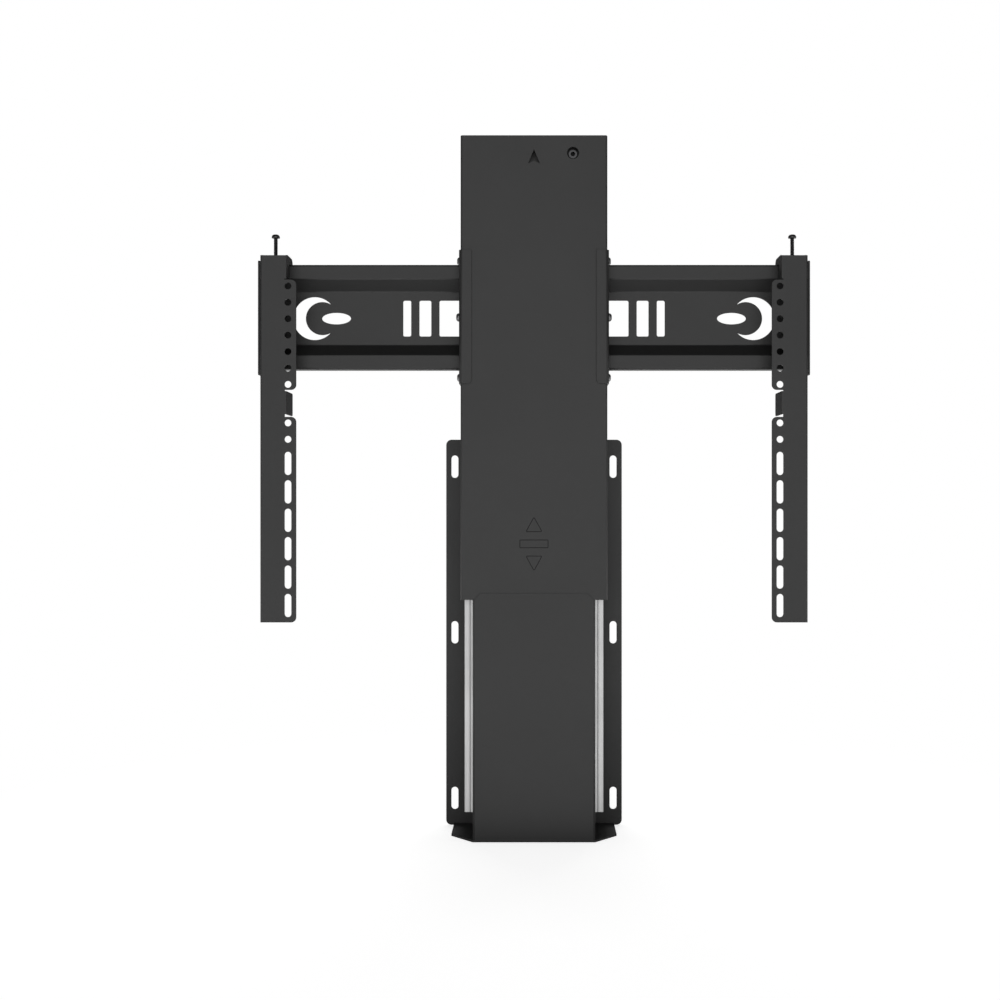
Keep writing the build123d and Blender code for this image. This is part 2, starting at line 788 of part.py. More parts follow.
with BuildPart() as tv_arm:
    extrude(arm_front.sketch, amount=-arm_wall)
    extrude(hook_side.sketch, amount=arm_wall)
    extrude(lower_tab_side.sketch, amount=arm_wall)
    extrude(Pos(outer_wall_x - arm_tab_face, 0, 0) * hook_side.sketch, amount=arm_wall)
    with BuildSketch(facing_right(outer_wall_x)):
        with Locations((at_depth(arm_side_depth / 2), (arm_bottom + arm_top) / 2)):
            Rectangle(arm_side_depth, arm_top - arm_bottom)
    extrude(amount=arm_wall)
    with BuildSketch(level(arm_top)) as top_tab:
        with Locations(((flange_joint + outer_wall_x) / 2, at_depth(top_tab_rear_depth / 2))):
            Rectangle(top_tab_width, top_tab_rear_depth)
        fillet(top_tab.vertices().group_by(Axis.Y)[-1], hook_corner)
    extrude(amount=-arm_wall)
    front_edges = tv_arm.edges().group_by(Axis.Y)[0]
    fillet(front_edges.filter_by(Axis.Z).group_by(Axis.X)[-1], arm_edge_radius)
    with spots(level(arm_top), [(screw_x, at_depth(screw_depth))]):
        Hole(arm_screw_radius, depth=arm_wall)
save_pair(tv_arm, "tv_arm")

# Levelling nuts, clinched under the arms' top tabs, and the screws that turn in them
arm_nut_radius = 4.5
arm_nut_height = 4.0
arm_screw_head = 5.0
arm_screw_head_height = 4.4
arm_screw_head_rise = 27.4
arm_screw_socket = 1.8
screw_rise = arm_top + arm_screw_head_rise
with BuildPart() as levelling_nut:
    with BuildSketch(level(arm_top - arm_wall)):
        with Locations((screw_x, at_depth(screw_depth))):
            Circle(arm_nut_radius)
            Circle(arm_screw_radius, mode=Mode.SUBTRACT)
    extrude(amount=-arm_nut_height)
save_pair(levelling_nut, "levelling_nut")
arm_screw = round_head_screw(
    arm_screw_head,
    arm_screw_head_height,
    arm_screw_radius - running_gap,
    screw_rise - hook_under,
    arm_screw_socket,
)
with BuildPart() as levelling_screw:
    with Locations((screw_x, at_depth(screw_depth), screw_rise)):
        add(arm_screw)
save_pair(levelling_screw, "levelling_screw")

# Actuator foot bracket, a clevis screwed down through the foot plate
foot_bracket_base = 4.0
clevis_inner = 14.0
clevis_wall = 4.0
clevis_half_depth = 10.0
pin_radius = 5.0
foot_pin_z = 24.0
pin_overhang = 3.0
pin_chamfer = 0.8
bracket_floor = foot_thickness + foot_bracket_base
with BuildSketch(facing_right(clevis_inner)) as ear:
    with Locations((actuator_y, foot_pin_z)):
        Circle(clevis_half_depth)
    with Locations((actuator_y, (bracket_floor + foot_pin_z) / 2)):
        Rectangle(2 * clevis_half_depth, foot_pin_z - bracket_floor)
    with Locations((actuator_y, foot_pin_z)):
        Circle(pin_radius + seat_gap, mode=Mode.SUBTRACT)
with BuildPart() as foot_bracket:
    with BuildSketch(level(foot_thickness)):
        with Locations((0, actuator_y)):
            Rectangle(2 * actuator_foot_half_width, 2 * actuator_foot_half_depth)
    extrude(amount=foot_bracket_base)
    extrude(ear.sketch, amount=clevis_wall)
    extrude(Pos(-2 * clevis_inner, 0, 0) * ear.sketch, amount=-clevis_wall)
    with BuildSketch(level(bracket_floor)):
        with Locations(*[(x, -y) for x, y in foot_screw_places]):
            Circle(foot_screw_radius + seat_gap)
    extrude(amount=-foot_bracket_base, mode=Mode.SUBTRACT)
save(foot_bracket, "foot_bracket")
foot_screw = flat_head_screw(
    foot_screw_head, foot_screw_radius, foot_screw_length, foot_screw_radius
)
save_screws("foot_screws", foot_screw, underside, foot_screw_places)


def clevis_pin(z, half_grip):
    """A headless pin across the object, chamfered at both ends."""
    half_length = half_grip + pin_overhang
    with BuildPart() as pin:
        with BuildSketch(facing_right(-half_length)):
            with Locations((actuator_y, z)):
                Circle(pin_radius)
        extrude(amount=2 * half_length)
        chamfer(pin.edges().filter_by(GeomType.CIRCLE), pin_chamfer)
    return pin


save(clevis_pin(foot_pin_z, clevis_inner + clevis_wall), "foot_pin")

# Gearbox housing, with the lug that the foot pin holds
box_bottom = 40.0
box_top = 64.0
box_floor = 51.5
box_wall = 3.0
gear_case_radius = 38.0
pinion_case_radius = 24.0
lid_thickness = 6.0
case_screw_radius = 1.5
case_screw_head = 2.8
case_screw_height = 1.6
case_boss = 4.0
case_screw_outset = 1.0
case_screw_bite = 8.0
case_hole_depth = 12.0
bearing_radius = 14.0
bearing_width = 8.0
journal_radius = 6.0
pinion_x = gear_module * (gear_teeth + pinion_teeth) / 2
case_screw_places = [
    (x, actuator_y + side * (radius + case_screw_outset))
    for x, radius in ((0, gear_case_radius), (pinion_x, pinion_case_radius))
    for side in (-1, 1)
]


def gear_case(plane, wall):
    """The outline round both gears, drawn in from the outside by a wall."""
    with BuildSketch(plane) as case:
        with Locations((0, actuator_y)):
            Circle(gear_case_radius - wall)
        with Locations((pinion_x, actuator_y)):
            Circle(pinion_case_radius - wall)
        make_hull()
    return case.sketch


def case_bosses(plane):
    with BuildSketch(plane) as bosses:
        with Locations(*case_screw_places):
            Circle(case_boss)
    return bosses.sketch


lug_half_width = clevis_inner - body_gap
with BuildPart() as gearbox_housing:
    extrude(gear_case(level(box_bottom), 0), amount=box_top - box_bottom)
    extrude(case_bosses(level(box_bottom)), amount=box_top - box_bottom)
    extrude(gear_case(level(box_floor), box_wall), amount=box_top - box_floor, mode=Mode.SUBTRACT)
    with BuildSketch(facing_right(-lug_half_width)):
        with Locations((actuator_y, foot_pin_z)):
            Circle(clevis_half_depth)
        with Locations((actuator_y, (foot_pin_z + box_bottom) / 2)):
            Rectangle(2 * clevis_half_depth, box_bottom - foot_pin_z)
    extrude(amount=2 * lug_half_width)
    with BuildSketch(facing_right(-lug_half_width)):
        with Locations((actuator_y, foot_pin_z)):
            Circle(pin_radius + seat_gap)
    extrude(amount=2 * lug_half_width, mode=Mode.SUBTRACT)
    with spots(level(box_floor), [(0, actuator_y)]):
        Hole(bearing_radius, depth=bearing_width)
    with spots(level(box_top), case_screw_places):
        Hole(case_screw_radius + seat_gap, depth=case_hole_depth)
save(gearbox_housing, "gearbox_housing")

# Screw bearing, shown as one ring
with BuildPart() as screw_bearing:
    with BuildSketch(level(box_floor)):
        with Locations((0, actuator_y)):
            Circle(bearing_radius)
            Circle(journal_radius, mode=Mode.SUBTRACT)
    extrude(amount=-bearing_width)
save(screw_bearing, "screw_bearing")

# Gearbox lid, with the spigot that centres the outer tube, and the bush inside it
lid_top = box_top + lid_thickness
spigot_height = 8.0
bush_radius = 10.0
shaft_radius = 3.0
shaft_clearance = 2.0
with BuildPart() as gearbox_lid:
    extrude(gear_case(level(box_top), 0), amount=lid_thickness)
    extrude(case_bosses(level(box_top)), amount=lid_thickness)
    with BuildSketch(level(lid_top)):
        with Locations((0, actuator_y)):
            Circle(outer_tube_radius - tube_wall)
    extrude(amount=spigot_height)
    with BuildSketch(level(box_top)):
        with Locations((0, actuator_y)):
            Circle(bush_radius)
        with Locations((pinion_x, actuator_y)):
            Circle(shaft_radius + shaft_clearance)
        with Locations(*case_screw_places):
            Circle(case_screw_radius + seat_gap)
    extrude(amount=lid_thickness + spigot_height, mode=Mode.SUBTRACT)
save(gearbox_lid, "gearbox_lid")
with BuildPart() as screw_bush:
    with BuildSketch(level(box_top)):
        with Locations((0, actuator_y)):
            Circle(bush_radius)
            Circle(screw_radius + running_gap, mode=Mode.SUBTRACT)
    extrude(amount=lid_thickness + spigot_height)
save(screw_bush, "screw_bush")
case_screw = round_head_screw(
    case_screw_head,
    case_screw_height,
    case_screw_radius,
    lid_thickness + case_screw_bite,
    case_screw_radius * small_socket_share,
)
save_screws("gearbox_screws", case_screw, level(lid_top), case_screw_places)


def gear_outline(plane, teeth, first_angle):
    """A spur gear's face: each flank is an arc through three points of its involute."""
    pitch_radius = gear_module * teeth / 2
    base_radius = pitch_radius * math.cos(math.radians(pressure_angle))
    tip_radius = pitch_radius + gear_module * tooth_height_share
    root_radius = pitch_radius - gear_module * root_depth_share
    start_radius = max(base_radius, root_radius)
    half_tooth = (math.pi / 2 - backlash_share) / teeth
    contact = math.radians(pressure_angle)
    pitch_involute = math.tan(contact) - contact
    pitch_turn = 2 * math.pi / teeth

    def flank(radius, middle, side):
        reach = math.acos(min(1, base_radius / radius))
        angle = middle + side * (half_tooth + pitch_involute - (math.tan(reach) - reach))
        return (radius * math.cos(angle), radius * math.sin(angle))

    def on_root(middle, side):
        x, y = flank(start_radius, middle, side)
        return (x * root_radius / start_radius, y * root_radius / start_radius)

    flank_radii = (start_radius, (start_radius + tip_radius) / 2, tip_radius)
    with BuildSketch(plane) as gear:
        with BuildLine():
            for tooth in range(teeth):
                middle = first_angle + tooth * pitch_turn
                rising = [flank(radius, middle, -1) for radius in flank_radii]
                falling = [flank(radius, middle, 1) for radius in reversed(flank_radii)]
                if start_radius > root_radius:
                    Line(on_root(middle, -1), rising[0])
                    Line(falling[-1], on_root(middle, 1))
                ThreePointArc(*rising)
                Line(rising[-1], falling[0])
                ThreePointArc(*falling)
                Line(on_root(middle, 1), on_root(middle + pitch_turn, -1))
        make_face()
    return gear.sketch


# Lead screw, and its drive gear, which rests on the bearing by its hub
gear_lift = 1.0
hub_radius = 9.0
screw_tail = 25.0
screw_chamfer = 1.0
nut_radius = 15.5
nut_height = 16.0
nut_spigot = 12.0
nut_rest_gap = 4.0
nut_bottom = lid_top + spigot_height + nut_rest_gap + lift_travel
push_tube_bottom = nut_bottom + nut_height
screw_top = push_tube_bottom + nut_spigot + screw_tail
journal_bottom = box_floor - bearing_width + body_gap
gear_bottom = box_floor + gear_lift
gear_top = gear_bottom + gear_width
with BuildPart() as lead_screw:
    with BuildSketch(level(journal_bottom)):
        with Locations((0, actuator_y)):
            Circle(journal_radius - running_gap)
    extrude(amount=gear_top - journal_bottom)
    with BuildSketch(level(gear_top)):
        with Locations((0, actuator_y)):
            Circle(screw_radius)
    extrude(amount=screw_top - gear_top)
    chamfer(lead_screw.edges().group_by(Axis.Z)[-1], screw_chamfer)
save(lead_screw, "lead_screw")
with BuildPart() as drive_gear:
    extrude(Pos(0, actuator_y, 0) * gear_outline(level(gear_bottom), gear_teeth, 0), amount=gear_width)
    with BuildSketch(level(gear_bottom)):
        with Locations((0, actuator_y)):
            Circle(hub_radius)
    extrude(amount=body_gap - gear_lift)
    with spots(level(gear_top), [(0, actuator_y)]):
        Hole(journal_radius)
save(drive_gear, "drive_gear")

# Pinion on its shaft, which turns in the gearhead
shaft_lift = 0.5
shaft_reach = 20.0
with BuildPart() as motor_pinion:
    pinion_face = gear_outline(level(gear_bottom), pinion_teeth, math.pi / pinion_teeth)
    extrude(Pos(pinion_x, actuator_y, 0) * pinion_face, amount=gear_width)
    with BuildSketch(level(box_floor + shaft_lift)):
        with Locations((pinion_x, actuator_y)):
            Circle(shaft_radius)
    extrude(amount=lid_top + shaft_reach - box_floor - shaft_lift)
save(motor_pinion, "motor_pinion")

# Gearhead, motor and end cap, which stand on the lid beside the outer tube
gearhead_radius = 20.0
gearhead_height = 34.0
motor_radius = 18.5
motor_height = 56.0
motor_edge_radius = 2.3
motor_cap_radius = 14.8
motor_cap_height = 6.0
terminal_x = 10.0
terminal_depth = 5.0
terminal_thickness = 1.0
with BuildPart() as gearhead:
    with BuildSketch(level(lid_top)):
        with Locations((pinion_x, actuator_y)):
            Circle(gearhead_radius)
    extrude(amount=gearhead_height)
    chamfer(gearhead.edges().group_by(Axis.Z)[-1], gearhead_radius - motor_radius)
    with BuildSketch(level(lid_top)):
        with Locations((pinion_x, actuator_y)):
            Circle(shaft_radius + running_gap)
    extrude(amount=shaft_reach + body_gap, mode=Mode.SUBTRACT)
save(gearhead, "gearhead")
motor_bottom = lid_top + gearhead_height
with BuildPart() as motor_can:
    with BuildSketch(level(motor_bottom)):
        with Locations((pinion_x, actuator_y)):
            Circle(motor_radius)
    extrude(amount=motor_height)
    fillet(motor_can.edges().group_by(Axis.Z)[-1], motor_edge_radius)
save(motor_can, "motor_can")
cap_bottom = motor_bottom + motor_height
with BuildPart() as motor_cap:
    with BuildSketch(level(cap_bottom)):
        with Locations((pinion_x, actuator_y)):
            Circle(motor_cap_radius)
    extrude(amount=motor_cap_height)
    with BuildSketch(level(cap_bottom + motor_cap_height)):
        for side in (-1, 1):
            with Locations((pinion_x + side * terminal_x, actuator_y)):
                Rectangle(terminal_thickness, terminal_depth)
    extrude(amount=motor_cap_height)
save(motor_cap, "motor_cap")

# Outer tube, with a guide bush in its mouth
outer_tube_reach = 57.0
outer_tube_top = push_tube_bottom + outer_tube_reach
tube_bush_length = 15.0
tube_bush_flange = 4.0
with BuildPart() as outer_tube:
    with BuildSketch(level(lid_top)):
        with Locations((0, actuator_y)):
            Circle(outer_tube_radius)
            Circle(outer_tube_radius - tube_wall, mode=Mode.SUBTRACT)
    extrude(amount=outer_tube_top - lid_top)
save(outer_tube, "outer_tube")
with BuildPart() as tube_bush:
    with BuildSketch(level(outer_tube_top)):
        with Locations((0, actuator_y)):
            Circle(outer_tube_radius - tube_wall)
    extrude(amount=-tube_bush_length)
    with BuildSketch(level(outer_tube_top)):
        with Locations((0, actuator_y)):
            Circle(outer_tube_radius)
    extrude(amount=tube_bush_flange)
    with BuildSketch(level(outer_tube_top + tube_bush_flange)):
        with Locations((0, actuator_y)):
            Circle(push_tube_radius + running_gap)
    extrude(amount=-tube_bush_flange - tube_bush_length, mode=Mode.SUBTRACT)
save(tube_bush, "tube_bush")

# Saddle and strap, which hold the outer tube against the column's rear wall
saddle_drop = 22.0
saddle_bottom = outer_tube_top - saddle_drop
saddle_height = 16.0
saddle_half_width = 29.5
strap_wall = 3.0
strap_screw_x = 25.0
strap_screw_radius = 2.0
strap_screw_head = 3.6
strap_screw_height = 2.2
strap_screw_bite = 12.0
strap_hole_depth = 15.0
web_y = at_depth(plate_front_depth - frame_wall)
strap_front_y = actuator_y - strap_wall
strap_screw_places = [
    (side * strap_screw_x, saddle_bottom + saddle_height / 2) for side in (-1, 1)
]
with BuildPart() as tube_saddle:
    with BuildSketch(level(saddle_bottom)):
        with Locations((0, (actuator_y + web_y) / 2)):
            Rectangle(2 * saddle_half_width, web_y - actuator_y)
        with Locations((0, actuator_y)):
            Circle(outer_tube_radius + seat_gap, mode=Mode.SUBTRACT)
    extrude(amount=saddle_height)
    with BuildSketch(Plane.XZ.offset(-actuator_y)):
        with Locations(*strap_screw_places):
            Circle(strap_screw_radius + seat_gap)
    extrude(amount=-strap_hole_depth, mode=Mode.SUBTRACT)
save(tube_saddle, "tube_saddle")
with BuildPart() as tube_strap:
    with BuildSketch(level(saddle_bottom)):
        with Locations((0, actuator_y)):
            Circle(outer_tube_radius + strap_wall)
        with Locations((0, actuator_y - strap_wall / 2)):
            Rectangle(2 * saddle_half_width, strap_wall)
        with Locations((0, actuator_y)):
            Circle(outer_tube_radius + seat_gap, mode=Mode.SUBTRACT)
        with Locations((0, actuator_y + saddle_half_width)):
            Rectangle(2 * saddle_half_width, 2 * saddle_half_width, mode=Mode.SUBTRACT)
    extrude(amount=saddle_height)
    with BuildSketch(Plane.XZ.offset(-actuator_y)):
        with Locations(*strap_screw_places):
            Circle(strap_screw_radius + seat_gap)
    extrude(amount=strap_wall, mode=Mode.SUBTRACT)
save(tube_strap, "tube_strap")
strap_screw = round_head_screw(
    strap_screw_head,
    strap_screw_height,
    strap_screw_radius,
    strap_wall + strap_screw_bite,
    strap_screw_radius * small_socket_share,
)
save_screws("strap_screws", strap_screw, Plane.XZ.offset(-strap_front_y), strap_screw_places)

# Push tube, with the spindle nut in its foot and the rod end in its head
head_pin_drop = 24.0
rod_end_reach = 28.0
head_pin_z = shell_top - head_pin_drop
push_tube_top = head_pin_z - rod_end_reach
rod_end_spigot = 15.0
rod_end_collar = 6.0
with BuildPart() as spindle_nut:
    with BuildSketch(level(nut_bottom)):
        with Locations((0, actuator_y)):
            Circle(nut_radius)
    extrude(amount=nut_height)
    with BuildSketch(level(push_tube_bottom)):
        with Locations((0, actuator_y)):
            Circle(push_tube_radius - tube_wall)
    extrude(amount=nut_spigot)
    with BuildSketch(level(nut_bottom)):
        with Locations((0, actuator_y)):
            Circle(screw_radius + running_gap)
    extrude(amount=nut_height + nut_spigot, mode=Mode.SUBTRACT)
save(spindle_nut, "spindle_nut")
with BuildPart() as push_tube:
    with BuildSketch(level(push_tube_bottom)):
        with Locations((0, actuator_y)):
            Circle(push_tube_radius)
            Circle(push_tube_radius - tube_wall, mode=Mode.SUBTRACT)
    extrude(amount=push_tube_top - push_tube_bottom)
save(push_tube, "push_tube")
head_ear_inner = 9.0
head_ear_wall = 5.0
head_ear_half_depth = 12.0
lug_half = head_ear_inner - body_gap
collar_top = push_tube_top + rod_end_collar
with BuildPart() as rod_end:
    with BuildSketch(level(push_tube_top)):
        with Locations((0, actuator_y)):
            Circle(push_tube_radius - tube_wall)
    extrude(amount=-rod_end_spigot)
    with BuildSketch(level(push_tube_top)):
        with Locations((0, actuator_y)):
            Circle(push_tube_radius)
    extrude(amount=rod_end_collar)
    with BuildSketch(facing_right(-lug_half)):
        with Locations((actuator_y, head_pin_z)):
            Circle(clevis_half_depth)
        with Locations((actuator_y, (collar_top + head_pin_z) / 2)):
            Rectangle(2 * clevis_half_depth, head_pin_z - collar_top)
        with Locations((actuator_y, head_pin_z)):
            Circle(pin_radius + seat_gap, mode=Mode.SUBTRACT)
    extrude(amount=2 * lug_half)
save(rod_end, "rod_end")
save(clevis_pin(head_pin_z, head_ear_inner + head_ear_wall), "head_pin")

# Head bracket under the shell's top, with ears for the pin and a flange at the front
head_plate = 4.0
head_plate_inset = 8.0
head_plate_half_width = shell_half_width - head_plate_inset
head_front_depth = 19.0
head_rear_depth = 94.0
head_flange_wall = 4.0
head_flange_height = 37.5
head_flange_inset = 20.0
head_flange_half_width = shell_half_width - head_flange_inset
access_screw_radius = 3.0
access_head_radius = 5.8
access_head_height = 5.0
access_head_chamfer = 0.6
access_socket = 3.1
access_socket_depth = 4.2
access_screw_length = 12.0
access_nut_height = 5.0
head_top = shell_top - shell_wall
head_underside = head_top - head_plate
head_flange_bottom = head_top - head_flange_height
with BuildSketch(facing_right(head_ear_inner)) as head_ear:
    with Locations((actuator_y, head_pin_z)):
        Circle(head_ear_half_depth)
    with Locations((actuator_y, (head_pin_z + head_underside) / 2)):
        Rectangle(2 * head_ear_half_depth, head_underside - head_pin_z)
    with Locations((actuator_y, head_pin_z)):
        Circle(pin_radius + seat_gap, mode=Mode.SUBTRACT)
with BuildPart() as head_bracket:
    with BuildSketch(level(head_underside)):
        with Locations((0, at_depth((head_front_depth + head_rear_depth) / 2))):
            Rectangle(2 * head_plate_half_width, head_rear_depth - head_front_depth)
    extrude(amount=head_plate)
    extrude(head_ear.sketch, amount=head_ear_wall)
    extrude(Pos(-2 * head_ear_inner, 0, 0) * head_ear.sketch, amount=-head_ear_wall)
    with BuildSketch(facing_front(head_front_depth)):
        with Locations((0, (head_flange_bottom + head_top) / 2)):
            Rectangle(2 * head_flange_half_width, head_top - head_flange_bottom)
    extrude(amount=-head_flange_wall)
    with BuildSketch(facing_front(head_front_depth)):
        with Locations((access_x, access_z)):
            Circle(access_screw_radius + seat_gap)
    extrude(amount=-head_flange_wall, mode=Mode.SUBTRACT)
    with spots(level(shell_top), top_screw_places):
        CounterSinkHole(
            top_screw_radius + seat_gap, top_screw_head + seat_gap, counter_sink_angle=countersink_angle
        )
save(head_bracket, "head_bracket")
top_screw = flat_head_screw(
    top_screw_head, top_screw_radius, shell_wall + head_plate, top_screw_radius
)
save_screws("top_screws", top_screw, level(shell_top), top_screw_places)

# Access screw behind the round hole, and its nut
with BuildPart() as access_cap_screw:
    with BuildSketch(Plane.XY):
        Circle(access_head_radius)
    extrude(amount=access_head_height)
    chamfer(access_cap_screw.edges().group_by(Axis.Z)[-1], access_head_chamfer)
    with BuildSketch(Plane.XY.offset(access_head_height)):
        RegularPolygon(access_socket, side_count=6)
    extrude(amount=-access_socket_depth, mode=Mode.SUBTRACT)
    with BuildSketch(Plane.XY):
        Circle(access_screw_radius)
    extrude(amount=-access_screw_length)
access_place = [(access_x, access_z)]
save_screws("access_screw", access_cap_screw.part, facing_front(head_front_depth), access_place)
with BuildPart() as access_nut:
    with BuildSketch(facing_front(head_front_depth + head_flange_wall)):
        with Locations((access_x, access_z)):
            RegularPolygon(access_head_radius, side_count=6)
            Circle(access_screw_radius + seat_gap, mode=Mode.SUBTRACT)
    extrude(amount=-access_nut_height)
save(access_nut, "access_nut")

# Control box on the column's rear wall, with its lid and circuit board
control_tube_gap = 6.0
control_frame_gap = 5.7
control_inner_x = -outer_tube_radius - control_tube_gap
control_outer_x = control_frame_gap - frame_half_width
control_bottom = 258.0
control_height = 134.0
control_front_depth = 41.0
control_wall = 2.0
control_lid = 3.0
board_wall = 1.6
board_margin = 1.0
board_depth = 90.0
post_radius = 2.5
post_inset = 5.0
relay_size = 16.0
relay_height = 14.0
relay_pitch = 32.0
control_screw_radius = 1.5
control_screw_head = 2.8
control_screw_height = 1.6
control_screw_bite = 9.6
control_hole_depth = 12.0
control_x = (control_inner_x + control_outer_x) / 2
control_width = control_inner_x - control_outer_x
control_z = control_bottom + control_height / 2
web_depth = plate_front_depth - frame_wall
post_places = [
    (control_x + sx * (control_width / 2 - control_wall - post_inset),
     control_z + sz * (control_height / 2 - control_wall - post_inset))
    for sx in (-1, 1)
    for sz in (-1, 1)
]
boss_reach = board_depth - control_front_depth - board_wall
with BuildPart() as control_box:
    with BuildSketch(facing_front(control_front_depth)):
        with Locations((control_x, control_z)):
            RectangleRounded(control_width, control_height, control_wall)
    extrude(amount=control_front_depth - web_depth)
    with BuildSketch(facing_front(control_front_depth)):
        with Locations((control_x, control_z)):
            Rectangle(control_width - 2 * control_wall, control_height - 2 * control_wall)
    extrude(amount=control_front_depth - web_depth + control_wall, mode=Mode.SUBTRACT)
    with BuildSketch(facing_front(web_depth - control_wall)):
        with Locations(*post_places):
            Circle(post_radius)
    extrude(amount=web_depth - control_wall - board_depth)
save(control_box, "control_box")
with BuildPart() as control_lid_piece:
    with BuildSketch(facing_front(control_front_depth)):
        with Locations((control_x, control_z)):
            RectangleRounded(control_width, control_height, control_wall)
    extrude(amount=control_lid)
    with BuildSketch(facing_front(control_front_depth)):
        with Locations(*post_places):
            Circle(post_radius)
    extrude(amount=-boss_reach)
    with BuildSketch(facing_front(control_front_depth - control_lid)):
        with Locations(*post_places):
            Circle(control_screw_radius + seat_gap)
    extrude(amount=-control_lid - control_hole_depth, mode=Mode.SUBTRACT)
save(control_lid_piece, "control_lid")
control_screw = round_head_screw(
    control_screw_head,
    control_screw_height,
    control_screw_radius,
    control_lid + control_screw_bite,
    control_screw_radius * small_socket_share,
)
save_screws(
    "control_screws", control_screw, facing_front(control_front_depth - control_lid), post_places
)
with BuildPart() as circuit_board:
    with BuildSketch(facing_front(board_depth)):
        with Locations((control_x, control_z)):
            Rectangle(
                control_width - 2 * (control_wall + board_margin),
                control_height - 2 * (control_wall + board_margin),
            )
    extrude(amount=board_wall)
    with BuildSketch(facing_front(board_depth - board_wall)):
        for row in (-1, 0, 1):
            with Locations((control_x, control_z + row * relay_pitch)):
                Rectangle(relay_size, relay_size)
    extrude(amount=relay_height)
save(circuit_board, "circuit_board")
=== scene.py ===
"""Dresses the motorised television lift: finishes, threads, welds, light and camera.

Lengths are metres, +Z up, and the television hangs on the -Y side.
"""

import json
import math

import bmesh
import bpy
from bpy.props import FloatProperty, FloatVectorProperty, IntProperty, PointerProperty
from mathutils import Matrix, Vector


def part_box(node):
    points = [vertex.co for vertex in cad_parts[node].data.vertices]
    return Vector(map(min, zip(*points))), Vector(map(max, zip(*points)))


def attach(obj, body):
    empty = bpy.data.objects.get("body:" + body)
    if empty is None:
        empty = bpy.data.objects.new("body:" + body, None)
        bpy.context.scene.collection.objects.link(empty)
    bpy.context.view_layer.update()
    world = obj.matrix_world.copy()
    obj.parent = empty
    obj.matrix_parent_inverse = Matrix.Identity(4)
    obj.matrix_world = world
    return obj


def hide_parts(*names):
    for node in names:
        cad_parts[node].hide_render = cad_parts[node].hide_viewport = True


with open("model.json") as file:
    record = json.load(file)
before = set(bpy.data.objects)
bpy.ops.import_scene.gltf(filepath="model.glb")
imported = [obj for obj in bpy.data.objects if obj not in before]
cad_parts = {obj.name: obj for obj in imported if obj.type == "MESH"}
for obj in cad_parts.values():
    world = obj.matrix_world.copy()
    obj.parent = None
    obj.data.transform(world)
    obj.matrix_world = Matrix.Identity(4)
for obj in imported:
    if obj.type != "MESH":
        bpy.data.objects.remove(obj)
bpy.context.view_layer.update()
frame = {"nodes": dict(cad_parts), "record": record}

bl_info = {
    "name": "Television lift",
    "version": (1, 0, 0),
    "blender": (4, 5, 0),
    "location": "3D View > Sidebar > Television Lift",
    "description": "Finishes, threads, welds, light and camera for a motorised television lift",
    "category": "Object",
}

MM = 0.001
SAME_POINT = 0.001 * MM
NOISE_SPREAD = {"From Min": 0.3, "From Max": 0.7}


def colour(name, description, default):
    """A linear colour that a user can change."""
    return FloatVectorProperty(
        name=name, description=description, subtype="COLOR", size=3, min=0, max=1, default=default
    )


def length(name, description, default):
    """A length in metres that a user can change."""
    return FloatProperty(
        name=name, description=description, subtype="DISTANCE", unit="LENGTH", min=0, default=default
    )


def strength(name, description, default):
    """A power or brightness that a user can change."""
    return FloatProperty(name=name, description=description, min=0, default=default)


class LiftSizes(bpy.types.PropertyGroup):
    """Sizes of what is modelled over the frame."""

    thread_pitch: length("Thread pitch", "Rise of one turn of the levelling screws' thread", 0.8 * MM)
    thread_depth: length("Thread depth", "Depth of the levelling screws' thread", 0.45 * MM)
    thread_steps: IntProperty(
        name="Thread steps", description="Faces round one turn of a thread", min=8, default=24
    )
    weld_pitch: length("Weld pitch", "Distance between the ripples of a weld", 1.6 * MM)
    weld_radius: length("Weld radius", "Half the width of a weld bead", 1.7 * MM)
    edge_round: length("Edge rounding", "Rounding of cut sheet edges under the paint", 0.12 * MM)
    floor_radius: length("Floor radius", "Radius of the pale floor", 4.0)


class LiftColours(bpy.types.PropertyGroup):
    """Colours of the finishes."""

    powder: colour("Powder coat", "Matte black-grey paint on the sheet steel", (0.010, 0.010, 0.010))
    # Painted shade: a darker paint colour for the shell's engraved grooves, its lower cut edge and the access
    # screw's socket, standing in for the shade there.
    painted_shade_colour: colour("Painted groove shade", "Paint in the shell's engraved marks", (0.004, 0.004, 0.004))
    aluminium: colour("Aluminium", "Natural anodised rails", (0.41, 0.41, 0.41))
    black_steel: colour("Black steel", "Oxide finish of the visible screws", (0.200, 0.200, 0.203))
    # Painted shade: the black steel of the visible screws, made darker for the access screw that sits in the
    # shade of the shell's hole.
    shaded_access_screw: colour("Shaded access screw", "Oxide finish of the access screw", (0.068, 0.068, 0.070))
    zinc: colour("Zinc", "Zinc-plated steel", (0.52, 0.53, 0.55))
    tube: colour("Bright tube", "Ground and plated push tube", (0.60, 0.60, 0.62))
    acetal: colour("Acetal", "Natural white gears, nut and glides", (0.78, 0.78, 0.74))
    bronze: colour("Bronze", "Sintered bush", (0.45, 0.27, 0.12))
    alloy: colour("Cast alloy", "Gearbox and saddle castings", (0.42, 0.42, 0.43))
    motor: colour("Motor steel", "Gearhead and motor can", (0.30, 0.30, 0.31))
    plastic: colour("Black plastic", "Control box and motor cap", (0.020, 0.020, 0.021))
    board: colour("Circuit board", "Green solder mask", (0.012, 0.090, 0.035))
    floor: colour("Floor", "Pale studio floor", (0.80, 0.80, 0.80))


